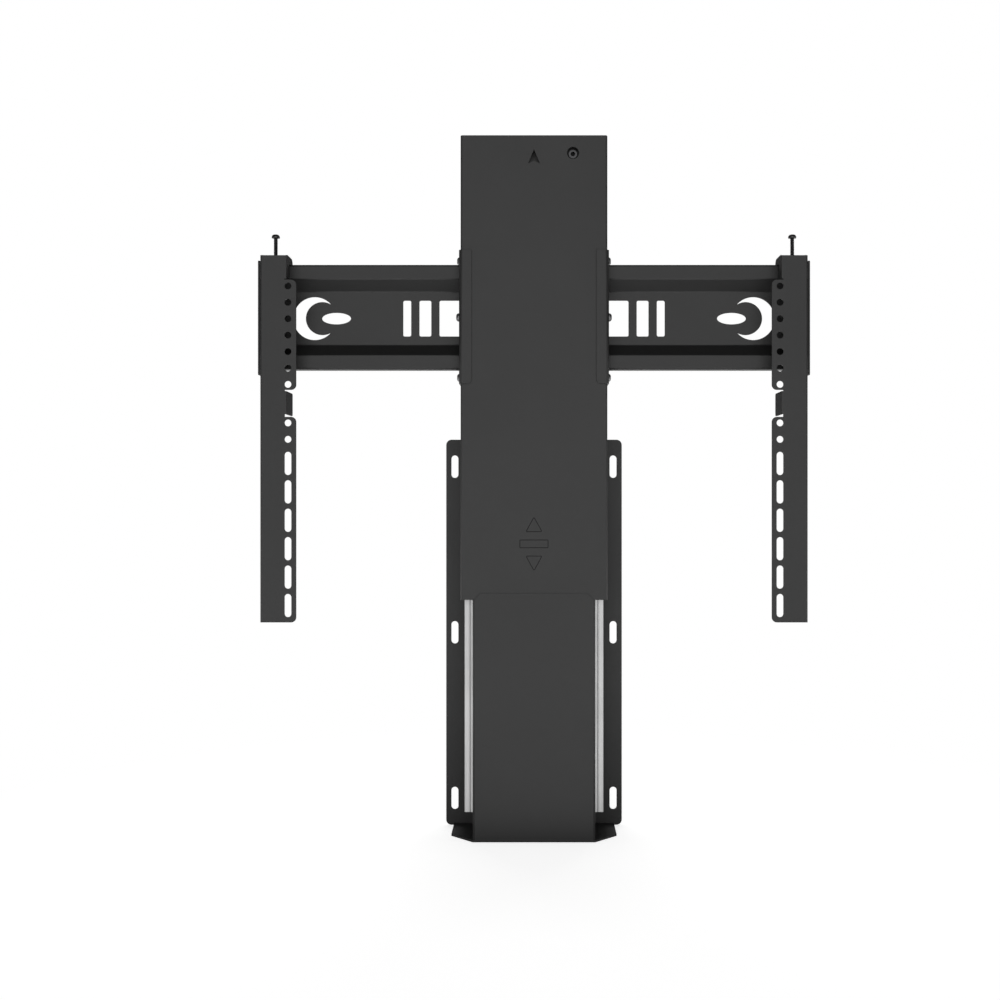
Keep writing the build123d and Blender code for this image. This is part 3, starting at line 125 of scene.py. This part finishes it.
class LiftLights(bpy.types.PropertyGroup):
    """Strengths of the studio's soft panels, and the camera."""

    key: strength("Front panel", "Power of the panel behind the camera, in watts", 53)
    side: strength("Side panels", "Power of each side panel, in watts", 9)
    back: strength("Rear panel", "Power of the panel behind the lift, in watts", 30)
    horizon: strength("Horizon", "Brightness round the studio for soft light", 0.35)
    gloss: strength("Mirrored horizon", "Brightness round the studio in reflections", 0.10)
    ceiling: strength("Ceiling", "Brightness straight above", 0.01)
    floor_white: strength("Floor lift", "Light that the camera sees the floor add", 0.72)
    floor_mirror: strength("Mirrored floor", "Light that reflections see the floor add", 1.5)
    distance: length("Camera distance", "From the lift's middle to the camera", 1.74575)
    height: length("Camera height", "Of the camera above the floor", 0.420)


def settings():
    """The lift's own settings in the scene."""
    return bpy.context.scene.television_lift


def nodes_with(slot):
    """The frame's nodes whose finish is that slot."""
    rows = frame["record"]["subparts"]
    return [frame["nodes"][row["node"]] for row in rows if row["material_slot"] == slot]


def dress(slot, material):
    """Gives all nodes of one finish the same material."""
    for piece in nodes_with(slot):
        piece.data.materials.clear()
        piece.data.materials.append(material)


# Node helpers


def add_node(tree, kind, inputs=None, **options):
    """A node with its options and its unlinked inputs set."""
    node = tree.nodes.new(kind)
    for name, value in options.items():
        setattr(node, name, value)
    for name, value in (inputs or {}).items():
        if isinstance(value, bpy.types.NodeSocket):
            tree.links.new(value, node.inputs[name])
        else:
            node.inputs[name].default_value = value
    return node


def new_group(name, inputs, outputs):
    """An empty node group with float inputs and float outputs."""
    tree = bpy.data.node_groups.new(name, "ShaderNodeTree")
    for socket_name, value in inputs.items():
        socket = tree.interface.new_socket(socket_name, in_out="INPUT", socket_type="NodeSocketFloat")
        socket.default_value = value
    for socket_name in outputs:
        tree.interface.new_socket(socket_name, in_out="OUTPUT", socket_type="NodeSocketFloat")
    start = tree.nodes.new("NodeGroupInput")
    end = tree.nodes.new("NodeGroupOutput")
    return tree, start, end


def place_group(tree, name, **values):
    """Places a group in a material, with its inputs set by their names in small letters."""
    node = tree.nodes.new("ShaderNodeGroup")
    node.node_tree = bpy.data.node_groups[name]
    for socket_name, value in values.items():
        node.inputs[socket_name.replace("_", " ").capitalize()].default_value = value
    return node


def build_grain_group():
    """Fine grain for bump, and slow clouds for colour and roughness."""
    tree, start, end = new_group("surface_grain", {"Grain scale": 900, "Cloud scale": 9}, ("Grain", "Clouds"))
    place = add_node(tree, "ShaderNodeTexCoord").outputs["Object"]
    grain = add_node(tree, "ShaderNodeTexNoise", {"Vector": place, "Detail": 4, "Roughness": 0.6})
    clouds = add_node(tree, "ShaderNodeTexNoise", {"Vector": place, "Detail": 5, "Roughness": 0.55})
    tree.links.new(start.outputs["Grain scale"], grain.inputs["Scale"])
    tree.links.new(start.outputs["Cloud scale"], clouds.inputs["Scale"])
    tree.links.new(grain.outputs["Fac"], end.inputs["Grain"])
    tree.links.new(clouds.outputs["Fac"], end.inputs["Clouds"])


def build_drawn_group():
    """Fine lines along Z, as a drawing die or a grinding wheel leaves them."""
    tree, start, end = new_group("drawn_lines", {"Line scale": 2200, "Stretch": 0.01}, ("Lines",))
    place = add_node(tree, "ShaderNodeTexCoord").outputs["Object"]
    apart = add_node(tree, "ShaderNodeSeparateXYZ", {"Vector": place})
    along = add_node(tree, "ShaderNodeMath", {0: apart.outputs["Z"]}, operation="MULTIPLY")
    tree.links.new(start.outputs["Stretch"], along.inputs[1])
    joined = add_node(tree, "ShaderNodeCombineXYZ",
                      {"X": apart.outputs["X"], "Y": apart.outputs["Y"], "Z": along.outputs[0]})
    lines = add_node(tree, "ShaderNodeTexNoise", {"Vector": joined.outputs[0], "Detail": 3})
    tree.links.new(start.outputs["Line scale"], lines.inputs["Scale"])
    tree.links.new(lines.outputs["Fac"], end.inputs["Lines"])


def build_scuff_group():
    """Sparse short scratches, as handling leaves them, strongest in a few patches."""
    tree, start, end = new_group("handling_marks", {"Mark scale": 60, "Amount": 0.5}, ("Marks",))
    place = add_node(tree, "ShaderNodeTexCoord").outputs["Object"]
    bent = add_node(tree, "ShaderNodeTexWave", {"Vector": place, "Distortion": 28, "Detail": 4})
    tree.links.new(start.outputs["Mark scale"], bent.inputs["Scale"])
    thin = add_node(tree, "ShaderNodeMapRange",
                    {"Value": bent.outputs["Fac"], "From Min": 0.965, "From Max": 1.0})
    patch = add_node(tree, "ShaderNodeTexNoise", {"Vector": place, "Scale": 14, "Detail": 2})
    near = add_node(tree, "ShaderNodeMapRange",
                    {"Value": patch.outputs["Fac"], "From Min": 0.58, "From Max": 0.72})
    marks = add_node(tree, "ShaderNodeMath", {0: thin.outputs[0], 1: near.outputs[0]}, operation="MULTIPLY")
    amount = add_node(tree, "ShaderNodeMath", {0: marks.outputs[0]}, operation="MULTIPLY")
    tree.links.new(start.outputs["Amount"], amount.inputs[1])
    tree.links.new(amount.outputs[0], end.inputs["Marks"])


def start_material(name, metallic, **shader_values):
    """A material with a Principled shader, whose plain numbers sit on its own sockets."""
    material = bpy.data.materials.new(name)
    material.use_nodes = True
    shader = material.node_tree.nodes["Principled BSDF"]
    shader.inputs["Metallic"].default_value = metallic
    for socket_name, value in shader_values.items():
        shader.inputs[socket_name.replace("_", " ")].default_value = value
    return material, material.node_tree, shader


def vary(tree, shader, socket, mask, value, low, high):
    """Feeds a shader's number from a mask, between two shares of its value."""
    spread = add_node(tree, "ShaderNodeMapRange",
                      {"Value": mask, "To Min": value * low, "To Max": value * high, **NOISE_SPREAD})
    tree.links.new(spread.outputs[0], shader.inputs[socket])


def tint(tree, shader, rgb, mask, low, high):
    """Feeds the base colour, between two shares of its brightness, from a mask."""
    mix = add_node(tree, "ShaderNodeMix", data_type="RGBA")
    mix.inputs["A"].default_value = (*[low * c for c in rgb], 1)
    mix.inputs["B"].default_value = (*[min(1, high * c) for c in rgb], 1)
    spread = add_node(tree, "ShaderNodeMapRange", {"Value": mask, **NOISE_SPREAD})
    tree.links.new(spread.outputs[0], mix.inputs["Factor"])
    tree.links.new(mix.outputs["Result"], shader.inputs["Base Color"])


def roughen(tree, shader, height, depth, strength):
    """Feeds the normal from a height, in metres of depth."""
    bump = add_node(tree, "ShaderNodeBump", {"Height": height, "Distance": depth, "Strength": strength})
    tree.links.new(bump.outputs[0], shader.inputs["Normal"])


def powder_coat():
    """Matte textured paint: fine orange peel, faint clouds and a few handling marks."""
    material, tree, shader = start_material("powder_coat", 0.0, Specular_IOR_Level=0.5)
    grain = place_group(tree, "surface_grain", grain_scale=1400, cloud_scale=5)
    marks = place_group(tree, "handling_marks", mark_scale=40, amount=0.25)
    patchy = add_node(tree, "ShaderNodeMath",
                      {0: grain.outputs["Clouds"], 1: marks.outputs["Marks"]}, operation="ADD")
    tint(tree, shader, settings().colours.powder, patchy.outputs[0], low=0.96, high=1.05)
    vary(tree, shader, "Roughness", patchy.outputs[0], value=0.5, low=1.04, high=0.94)
    roughen(tree, shader, grain.outputs["Grain"], depth=0.00012, strength=0.35)
    return material


def painted_shade():
    """The same paint, darkened and dulled as painted shade in narrow grooves, on a cut edge and in a screw
    socket.
    """
    material, tree, shader = start_material("painted_shade", 0.0, Roughness=0.7, Specular_IOR_Level=0.24)
    grain = place_group(tree, "surface_grain", grain_scale=1400, cloud_scale=30)
    tint(tree, shader, settings().colours.painted_shade_colour, grain.outputs["Clouds"], low=0.85, high=1.15)
    return material


def brushed_metal(name, rgb, roughness, line_scale):
    """Bright metal with fine lengthwise lines."""
    material, tree, shader = start_material(name, 1.0)
    drawn = place_group(tree, "drawn_lines", line_scale=line_scale)
    grain = place_group(tree, "surface_grain", grain_scale=500, cloud_scale=14)
    tint(tree, shader, rgb, drawn.outputs["Lines"], low=0.92, high=1.06)
    vary(tree, shader, "Roughness", grain.outputs["Clouds"], value=roughness, low=0.85, high=1.2)
    roughen(tree, shader, drawn.outputs["Lines"], depth=0.00003, strength=0.25)
    return material


def plain_metal(name, rgb, roughness, grain_scale, depth):
    """Cast, plated or oxidised metal with an even grain."""
    material, tree, shader = start_material(name, 1.0)
    grain = place_group(tree, "surface_grain", grain_scale=grain_scale, cloud_scale=40)
    marks = place_group(tree, "handling_marks", mark_scale=120, amount=0.4)
    tint(tree, shader, rgb, grain.outputs["Clouds"], low=0.88, high=1.12)
    worn = add_node(tree, "ShaderNodeMath",
                    {0: grain.outputs["Clouds"], 1: marks.outputs["Marks"]}, operation="SUBTRACT")
    vary(tree, shader, "Roughness", worn.outputs[0], value=roughness, low=0.8, high=1.2)
    roughen(tree, shader, grain.outputs["Grain"], depth=depth, strength=0.3)
    return material


def moulded_plastic(name, rgb, roughness, grain_scale, depth):
    """Moulded plastic with a spark-eroded grain and a slight sheen."""
    material, tree, shader = start_material(name, 0.0, Coat_Weight=0.05, Coat_Roughness=0.3)
    grain = place_group(tree, "surface_grain", grain_scale=grain_scale, cloud_scale=20)
    tint(tree, shader, rgb, grain.outputs["Clouds"], low=0.94, high=1.06)
    vary(tree, shader, "Roughness", grain.outputs["Clouds"], value=roughness, low=0.9, high=1.1)
    roughen(tree, shader, grain.outputs["Grain"], depth=depth, strength=0.4)
    return material


# Mesh helpers


def finish_piece(name, mesh_maker, body, material):
    """Makes an object from a bmesh, dresses it and lets it ride on a body."""
    mesh = bpy.data.meshes.new(name)
    mesh_maker.to_mesh(mesh)
    mesh_maker.free()
    mesh.materials.append(material)
    piece = bpy.data.objects.new(name, mesh)
    bpy.context.scene.collection.objects.link(piece)
    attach(piece, body)
    return piece


def cut_off(mesh_maker, height, keep_above):
    """Cuts a mesh level at a height and drops one side of it."""
    geometry = mesh_maker.verts[:] + mesh_maker.edges[:] + mesh_maker.faces[:]
    cut = bmesh.ops.bisect_plane(
        mesh_maker, geom=geometry, plane_co=(0, 0, height), plane_no=(0, 0, 1),
        clear_inner=keep_above, clear_outer=not keep_above,
    )
    return [edge for edge in cut["geom_cut"] if isinstance(edge, bmesh.types.BMEdge)]


def thread(middle, radius, low, high, sizes):
    """A closed threaded rod: a zigzag line carried round and up by one pitch a turn."""
    rod = bmesh.new()
    pitch = sizes.thread_pitch
    spare_turns = 3
    turns = int((high - low) / pitch) + spare_turns
    root_and_crest = ((0.0, sizes.thread_depth), (0.4, 0.0), (0.6, 0.0))
    line = []
    for turn in range(turns):
        foot = low + (turn - 1) * pitch
        for share, inset in root_and_crest:
            line.append(rod.verts.new(middle + Vector((radius - inset, 0, foot + share * pitch))))
    edges = [rod.edges.new(pair) for pair in zip(line, line[1:])]
    bmesh.ops.spin(
        rod, geom=line + edges, cent=middle, axis=(0, 0, 1), dvec=(0, 0, pitch / sizes.thread_steps),
        angle=math.tau, steps=sizes.thread_steps, use_merge=False,
    )
    bmesh.ops.remove_doubles(rod, verts=rod.verts[:], dist=SAME_POINT)
    for height, keep_above in ((low, True), (high, False)):
        edge_loop = cut_off(rod, height, keep_above)
        bmesh.ops.contextual_create(rod, geom=edge_loop)
    bmesh.ops.recalc_face_normals(rod, faces=rod.faces[:])
    return rod


class LIFT_OT_powder_coat(bpy.types.Operator):
    """Coats every sheet steel piece with matte black-grey powder"""

    bl_idname = "lift.powder_coat"
    bl_label = "Powder Coat"

    def execute(self, context):
        dress("powder_coat", powder_coat())
        return {"FINISHED"}


class LIFT_OT_marks(bpy.types.Operator):
    """Paints shade into the grooves of the shell's three marks, and onto its lower cut edge"""

    bl_idname = "lift.marks"
    bl_label = "Marks"

    def execute(self, context):
        groove_depth = 0.35 * MM
        margin = 0.05 * MM
        marks_middle = 366.3 * MM
        marks_reach = 36.0 * MM
        notch_reach = 14.0 * MM
        facing_down = -0.5
        shell = frame["nodes"]["moving_shell"]
        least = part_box("moving_shell")[0]
        shell.data.materials.append(painted_shade())
        for face in shell.data.polygons:
            near = abs(face.center.x) < marks_reach and abs(face.center.z - marks_middle) < marks_reach
            sunk = near and margin < face.center.y - least.y < groove_depth + margin
            cut_edge = face.normal.z < facing_down and face.center.z < least.z + notch_reach
            # Painted shade: the groove faces and the downward-facing cut edge take the darkened paint.
            if sunk or cut_edge:
                face.material_index = 1
        return {"FINISHED"}


class LIFT_OT_rails(bpy.types.Operator):
    """Finishes the aluminium rails and the plated push tube"""

    bl_idname = "lift.rails"
    bl_label = "Rails and Tube"

    def execute(self, context):
        colours = settings().colours
        dress("rail_aluminium", brushed_metal("rail_aluminium", colours.aluminium,
                                              roughness=0.38, line_scale=1800))
        dress("bright_tube", brushed_metal("bright_tube", colours.tube, roughness=0.16, line_scale=900))
        return {"FINISHED"}


class LIFT_OT_fasteners(bpy.types.Operator):
    """Finishes the black and the zinc-plated fasteners"""

    bl_idname = "lift.fasteners"
    bl_label = "Fasteners"

    def execute(self, context):
        colours = settings().colours
        dress("black_screw", plain_metal("black_screw", colours.black_steel,
                                         roughness=0.42, grain_scale=1500, depth=0.00003))
        dress("zinc_steel", plain_metal("zinc_steel", colours.zinc,
                                        roughness=0.28, grain_scale=700, depth=0.00004))
        return {"FINISHED"}


class LIFT_OT_access_screw(bpy.types.Operator):
    """Finishes the access screw behind the shell's hole in painted shade: a darker copy of the black steel,
    with darkened paint in its socket
    """

    bl_idname = "lift.access_screw"
    bl_label = "Access Screw"

    def execute(self, context):
        margin = 0.05 * MM
        socket_radius = 3.2 * MM
        socket_depth = 4.3 * MM
        screw = frame["nodes"]["access_screw"]
        screw.data.materials.clear()
        # Painted shade: a darker copy of the black steel, for the shade inside the shell's hole.
        screw.data.materials.append(plain_metal("shaded_access_screw", settings().colours.shaded_access_screw,
                                                roughness=0.42, grain_scale=1500, depth=0.00003))
        screw.data.materials.append(bpy.data.materials["painted_shade"])
        low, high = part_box("access_screw")
        middle = (low + high) / 2
        for face in screw.data.polygons:
            aside = math.hypot(face.center.x - middle.x, face.center.z - middle.z)
            sunk = margin < face.center.y - low.y < socket_depth
            # Painted shade in the socket.
            if sunk and aside < socket_radius:
                face.material_index = 1
        return {"FINISHED"}


class LIFT_OT_drive(bpy.types.Operator):
    """Finishes the gears, bushes, castings and motor of the drive"""

    bl_idname = "lift.drive"
    bl_label = "Drive"

    def execute(self, context):
        colours = settings().colours
        dress("white_acetal", moulded_plastic("white_acetal", colours.acetal,
                                              roughness=0.38, grain_scale=300, depth=0.00002))
        dress("bronze", plain_metal("bronze", colours.bronze,
                                    roughness=0.42, grain_scale=2200, depth=0.00006))
        dress("cast_alloy", plain_metal("cast_alloy", colours.alloy,
                                        roughness=0.5, grain_scale=800, depth=0.00015))
        dress("motor_metal", brushed_metal("motor_metal", colours.motor, roughness=0.3, line_scale=700))
        return {"FINISHED"}


class LIFT_OT_electrics(bpy.types.Operator):
    """Finishes the control box and its circuit board"""

    bl_idname = "lift.electrics"
    bl_label = "Electrics"

    def execute(self, context):
        colours = settings().colours
        dress("black_plastic", moulded_plastic("black_plastic", colours.plastic,
                                               roughness=0.5, grain_scale=1100, depth=0.00008))
        dress("green_board", moulded_plastic("green_board", colours.board,
                                             roughness=0.3, grain_scale=260, depth=0.00004))
        return {"FINISHED"}


class LIFT_OT_levelling_screws(bpy.types.Operator):
    """Replaces the plain levelling screws with threaded ones under the same heads"""

    bl_idname = "lift.levelling_screws"
    bl_label = "Levelling Screws"

    def execute(self, context):
        sizes = settings().sizes
        material = bpy.data.materials["black_screw"]
        head_height = 4.4 * MM
        shank_radius = 2.45 * MM
        overlap = 0.1 * MM
        for side in ("left", "right"):
            node = f"levelling_screw_{side}"
            low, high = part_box(node)
            middle = Vector(((low.x + high.x) / 2, (low.y + high.y) / 2, 0))
            head_foot = high.z - head_height
            screw = thread(middle, shank_radius, low.z, head_foot, sizes)
            head = bmesh.new()
            head.from_mesh(frame["nodes"][node].data)
            bmesh.ops.remove_doubles(head, verts=head.verts[:], dist=SAME_POINT)
            cut_off(head, head_foot - overlap, keep_above=True)
            head_mesh = bpy.data.meshes.new("screw_head")
            head.to_mesh(head_mesh)
            head.free()
            screw.from_mesh(head_mesh)
            bpy.data.meshes.remove(head_mesh)
            piece = finish_piece(f"threaded_screw_{side}", screw, f"{side}_levelling_screw",
                                 material)
            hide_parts(node)
        return {"FINISHED"}


class LIFT_OT_welds(bpy.types.Operator):
    """Lays the weld beads that join the crossbar halves to their brackets"""

    bl_idname = "lift.welds"
    bl_label = "Welds"

    def execute(self, context):
        sizes = settings().sizes
        web_rear_share = 0.96
        window_half_height = 24.0 * MM
        web_half_height = 45.0 * MM
        for side in ("left", "right"):
            low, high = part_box(f"crossbar_{side}")
            seam_x = min(abs(low.x), abs(high.x)) * (1 if side == "right" else -1)
            web_y = low.y + web_rear_share * (high.y - low.y)
            middle_z = (low.z + high.z) / 2
            bead = bmesh.new()
            ripples = int((web_half_height - window_half_height) / sizes.weld_pitch)
            for end in (-1, 1):
                for ripple in range(ripples):
                    z = middle_z + end * (window_half_height + ripple * sizes.weld_pitch)
                    drop = bmesh.ops.create_icosphere(bead, subdivisions=2, radius=sizes.weld_radius)
                    bmesh.ops.translate(bead, verts=drop["verts"], vec=(seam_x, web_y, z))
            finish_piece(f"weld_{side}", bead, "carriage",
                         bpy.data.materials["powder_coat"])
        return {"FINISHED"}


class LIFT_OT_edges(bpy.types.Operator):
    """Rounds the cut edges of the sheet steel a little, as paint does"""

    bl_idname = "lift.edges"
    bl_label = "Edges"

    def execute(self, context):
        sizes = settings().sizes
        crease = math.radians(50)
        flat_within = math.radians(0.5)
        for piece in nodes_with("powder_coat"):
            weld = piece.modifiers.new("merge", "WELD")
            weld.merge_threshold = SAME_POINT
            flat = piece.modifiers.new("flat_faces", "DECIMATE")
            flat.decimate_type = "DISSOLVE"
            flat.angle_limit = flat_within
            flat.delimit = {"MATERIAL"}
            bevel = piece.modifiers.new("rounded_edges", "BEVEL")
            bevel.width = sizes.edge_round
            bevel.segments = 2
            bevel.limit_method = "ANGLE"
            bevel.angle_limit = crease
            bevel.use_clamp_overlap = False
        return {"FINISHED"}


def soft_panel(name, place, aim, size, power):
    """A large soft lamp, of a width and a height, that looks at a point."""
    lamp = bpy.data.lights.new(name, "AREA")
    lamp.shape = "RECTANGLE"
    lamp.size, lamp.size_y = size
    lamp.energy = power
    panel = bpy.data.objects.new(name, lamp)
    bpy.context.scene.collection.objects.link(panel)
    panel.location = place
    panel.rotation_mode = "QUATERNION"
    panel.rotation_quaternion = (Vector(aim) - Vector(place)).to_track_quat("-Z", "Y")


def studio_world(lights):
    """White to the camera; a pale horizon under a dark ceiling to everything else."""
    world = bpy.data.worlds.new("studio")
    bpy.context.scene.world = world
    world.use_nodes = True
    tree = world.node_tree
    tree.nodes.clear()
    place = add_node(tree, "ShaderNodeTexCoord").outputs["Generated"]
    height = add_node(tree, "ShaderNodeSeparateXYZ", {"Vector": place}).outputs["Z"]
    rays = add_node(tree, "ShaderNodeLightPath")
    rise = {"Value": height, "From Min": 0.1, "From Max": 0.7, "To Max": lights.ceiling}
    soft = add_node(tree, "ShaderNodeMapRange", {**rise, "To Min": lights.horizon})
    glossy = add_node(tree, "ShaderNodeMapRange", {**rise, "To Min": lights.gloss})
    clear = add_node(tree, "ShaderNodeMath",
                     {0: rays.outputs["Is Glossy Ray"], 1: rays.outputs["Is Transmission Ray"]},
                     operation="MAXIMUM")
    first = add_node(tree, "ShaderNodeMix", data_type="FLOAT")
    tree.links.new(clear.outputs[0], first.inputs["Factor"])
    tree.links.new(soft.outputs[0], first.inputs["A"])
    tree.links.new(glossy.outputs[0], first.inputs["B"])
    second = add_node(tree, "ShaderNodeMix", data_type="FLOAT")
    tree.links.new(rays.outputs["Is Camera Ray"], second.inputs["Factor"])
    tree.links.new(first.outputs["Result"], second.inputs["A"])
    second.inputs["B"].default_value = 1.0
    sky = add_node(tree, "ShaderNodeBackground", {"Color": (1, 1, 1, 1)})
    tree.links.new(second.outputs["Result"], sky.inputs["Strength"])
    out = add_node(tree, "ShaderNodeOutputWorld")
    tree.links.new(sky.outputs[0], out.inputs["Surface"])


def floor_material(rgb, radius, lights):
    """Pale matte floor with the lift's soft shadow, white to the camera.

    Reflections see it lit in a ring round the lift and in a strip before and behind it. The bands are
    shares of the floor's radius.
    """
    white_from, white_to = 0.08, 0.20
    ring_from, ring_to = 0.11, 0.17
    dark_from, dark_to = 0.40, 0.55
    strip_from, strip_to = 0.02, 0.04
    side_from, side_to = 0.03, 0.05
    strip_strength = 0.7
    material, tree, shader = start_material("studio_floor", 0.0, Roughness=0.8)
    grain = place_group(tree, "surface_grain", grain_scale=60, cloud_scale=2)
    tint(tree, shader, rgb, grain.outputs["Clouds"], low=0.99, high=1.01)

    def band(value, start, end, from_value=0.0, to_value=1.0):
        """A mask that runs from one value to another between two shares of the radius."""
        ramp = add_node(tree, "ShaderNodeMapRange",
                        {"Value": value, "From Min": radius * start, "From Max": radius * end,
                         "To Min": from_value, "To Max": to_value})
        return ramp.outputs[0]

    def combine(operation, *values):
        """One number made of two or three."""
        return add_node(tree, "ShaderNodeMath", dict(enumerate(values)), operation=operation).outputs[0]

    place = add_node(tree, "ShaderNodeTexCoord").outputs["Object"]
    reach = add_node(tree, "ShaderNodeVectorMath", {0: place}, operation="LENGTH").outputs["Value"]
    either_way = add_node(tree, "ShaderNodeVectorMath", {0: place}, operation="ABSOLUTE").outputs["Vector"]
    apart = add_node(tree, "ShaderNodeSeparateXYZ", {"Vector": either_way})
    rays = add_node(tree, "ShaderNodeLightPath")
    strip = combine("MULTIPLY", band(apart.outputs["Y"], strip_from, strip_to, to_value=strip_strength),
                    band(apart.outputs["X"], side_from, side_to, from_value=1.0, to_value=0.0))
    lit = combine("MAXIMUM", band(reach, ring_from, ring_to), strip)
    lit = combine("MULTIPLY", lit, band(reach, dark_from, dark_to, from_value=1.0, to_value=0.0))
    seen = combine("MULTIPLY", rays.outputs["Is Camera Ray"], lights.floor_white)
    mirrored = combine("MULTIPLY", rays.outputs["Is Glossy Ray"], lit)
    lifted = combine("MULTIPLY_ADD", mirrored, lights.floor_mirror, seen)
    glow = add_node(tree, "ShaderNodeEmission", {"Color": (1, 1, 1, 1), "Strength": lifted})
    body = add_node(tree, "ShaderNodeAddShader", {0: shader.outputs[0], 1: glow.outputs[0]}).outputs[0]
    white = add_node(tree, "ShaderNodeEmission", {"Color": (1, 1, 1, 1)})
    far = combine("MULTIPLY", band(reach, white_from, white_to), rays.outputs["Is Camera Ray"])
    mix = add_node(tree, "ShaderNodeMixShader", {0: far, 1: body, 2: white.outputs[0]})
    tree.links.new(mix.outputs[0], tree.nodes["Material Output"].inputs["Surface"])
    return material


class LIFT_OT_stage(bpy.types.Operator):
    """Sets up the pale floor, the soft studio light and the camera"""

    bl_idname = "lift.stage"
    bl_label = "Stage"

    def execute(self, context):
        lift = settings()
        radius = lift.sizes.floor_radius
        disc = bmesh.new()
        bmesh.ops.create_circle(disc, cap_ends=True, segments=96, radius=radius)
        mesh = bpy.data.meshes.new("floor")
        disc.to_mesh(mesh)
        disc.free()
        mesh.materials.append(floor_material(lift.colours.floor, radius, lift.lights))
        floor = bpy.data.objects.new("floor", mesh)
        context.scene.collection.objects.link(floor)
        studio_world(lift.lights)
        level = (0, 0, 1.5)
        middle = (0, 0, 0.45)
        side_size = (1.6, 2.0)
        soft_panel("front_panel", (0, -3.0, 1.5), level, (3.8, 3.0), lift.lights.key)
        soft_panel("side_panel_left", (-2.6, 0.2, 0.8), middle, side_size, lift.lights.side)
        soft_panel("side_panel_right", (2.6, 0.2, 0.8), middle, side_size, lift.lights.side)
        soft_panel("rear_panel", (0, 2.6, 2.6), middle, (3.0, 2.0), lift.lights.back)
        camera = bpy.data.cameras.new("camera")
        camera.lens = 50
        camera.sensor_width = 36
        camera.shift_x = -0.034
        eye = bpy.data.objects.new("camera", camera)
        context.scene.collection.objects.link(eye)
        eye.location = (0, -lift.lights.distance, lift.lights.height)
        eye.rotation_euler = (math.pi / 2, 0, 0)
        context.scene.camera = eye
        context.scene.view_settings.view_transform = "Standard"
        return {"FINISHED"}


class LiftSettings(bpy.types.PropertyGroup):
    """Everything about the lift that a user can change."""

    sizes: PointerProperty(type=LiftSizes, name="Sizes", description="Sizes of the modelled detail")
    colours: PointerProperty(type=LiftColours, name="Colours", description="Colours of the finishes")
    lights: PointerProperty(type=LiftLights, name="Lights", description="Studio light and camera")


OPERATORS = (
    LIFT_OT_stage,
    LIFT_OT_powder_coat,
    LIFT_OT_marks,
    LIFT_OT_rails,
    LIFT_OT_fasteners,
    LIFT_OT_access_screw,
    LIFT_OT_drive,
    LIFT_OT_electrics,
    LIFT_OT_levelling_screws,
    LIFT_OT_welds,
    LIFT_OT_edges,
)


class LIFT_PT_panel(bpy.types.Panel):
    """Lists the lift's operators and settings"""

    bl_idname = "LIFT_PT_panel"
    bl_label = "Television Lift"
    bl_space_type = "VIEW_3D"
    bl_region_type = "UI"
    bl_category = "Television Lift"

    def draw(self, context):
        for operator in OPERATORS:
            self.layout.operator(operator.bl_idname)
        lift = context.scene.television_lift
        for group in (lift.sizes, lift.colours, lift.lights):
            box = self.layout.box()
            for name in group.__annotations__:
                box.prop(group, name)


CLASSES = (LiftSizes, LiftColours, LiftLights, LiftSettings, *OPERATORS, LIFT_PT_panel)


def register():
    for item in CLASSES:
        bpy.utils.register_class(item)
    bpy.types.Scene.television_lift = PointerProperty(
        type=LiftSettings, name="Television lift", description="Settings of the television lift"
    )


def unregister():
    del bpy.types.Scene.television_lift
    for item in reversed(CLASSES):
        bpy.utils.unregister_class(item)


def main():
    register()
    build_grain_group()
    build_drawn_group()
    build_scuff_group()
    bpy.ops.lift.stage()
    bpy.ops.lift.powder_coat()
    bpy.ops.lift.marks()
    bpy.ops.lift.rails()
    bpy.ops.lift.fasteners()
    bpy.ops.lift.access_screw()
    bpy.ops.lift.drive()
    bpy.ops.lift.electrics()
    bpy.ops.lift.levelling_screws()
    bpy.ops.lift.welds()
    bpy.ops.lift.edges()


if __name__ == "__main__":
    main()
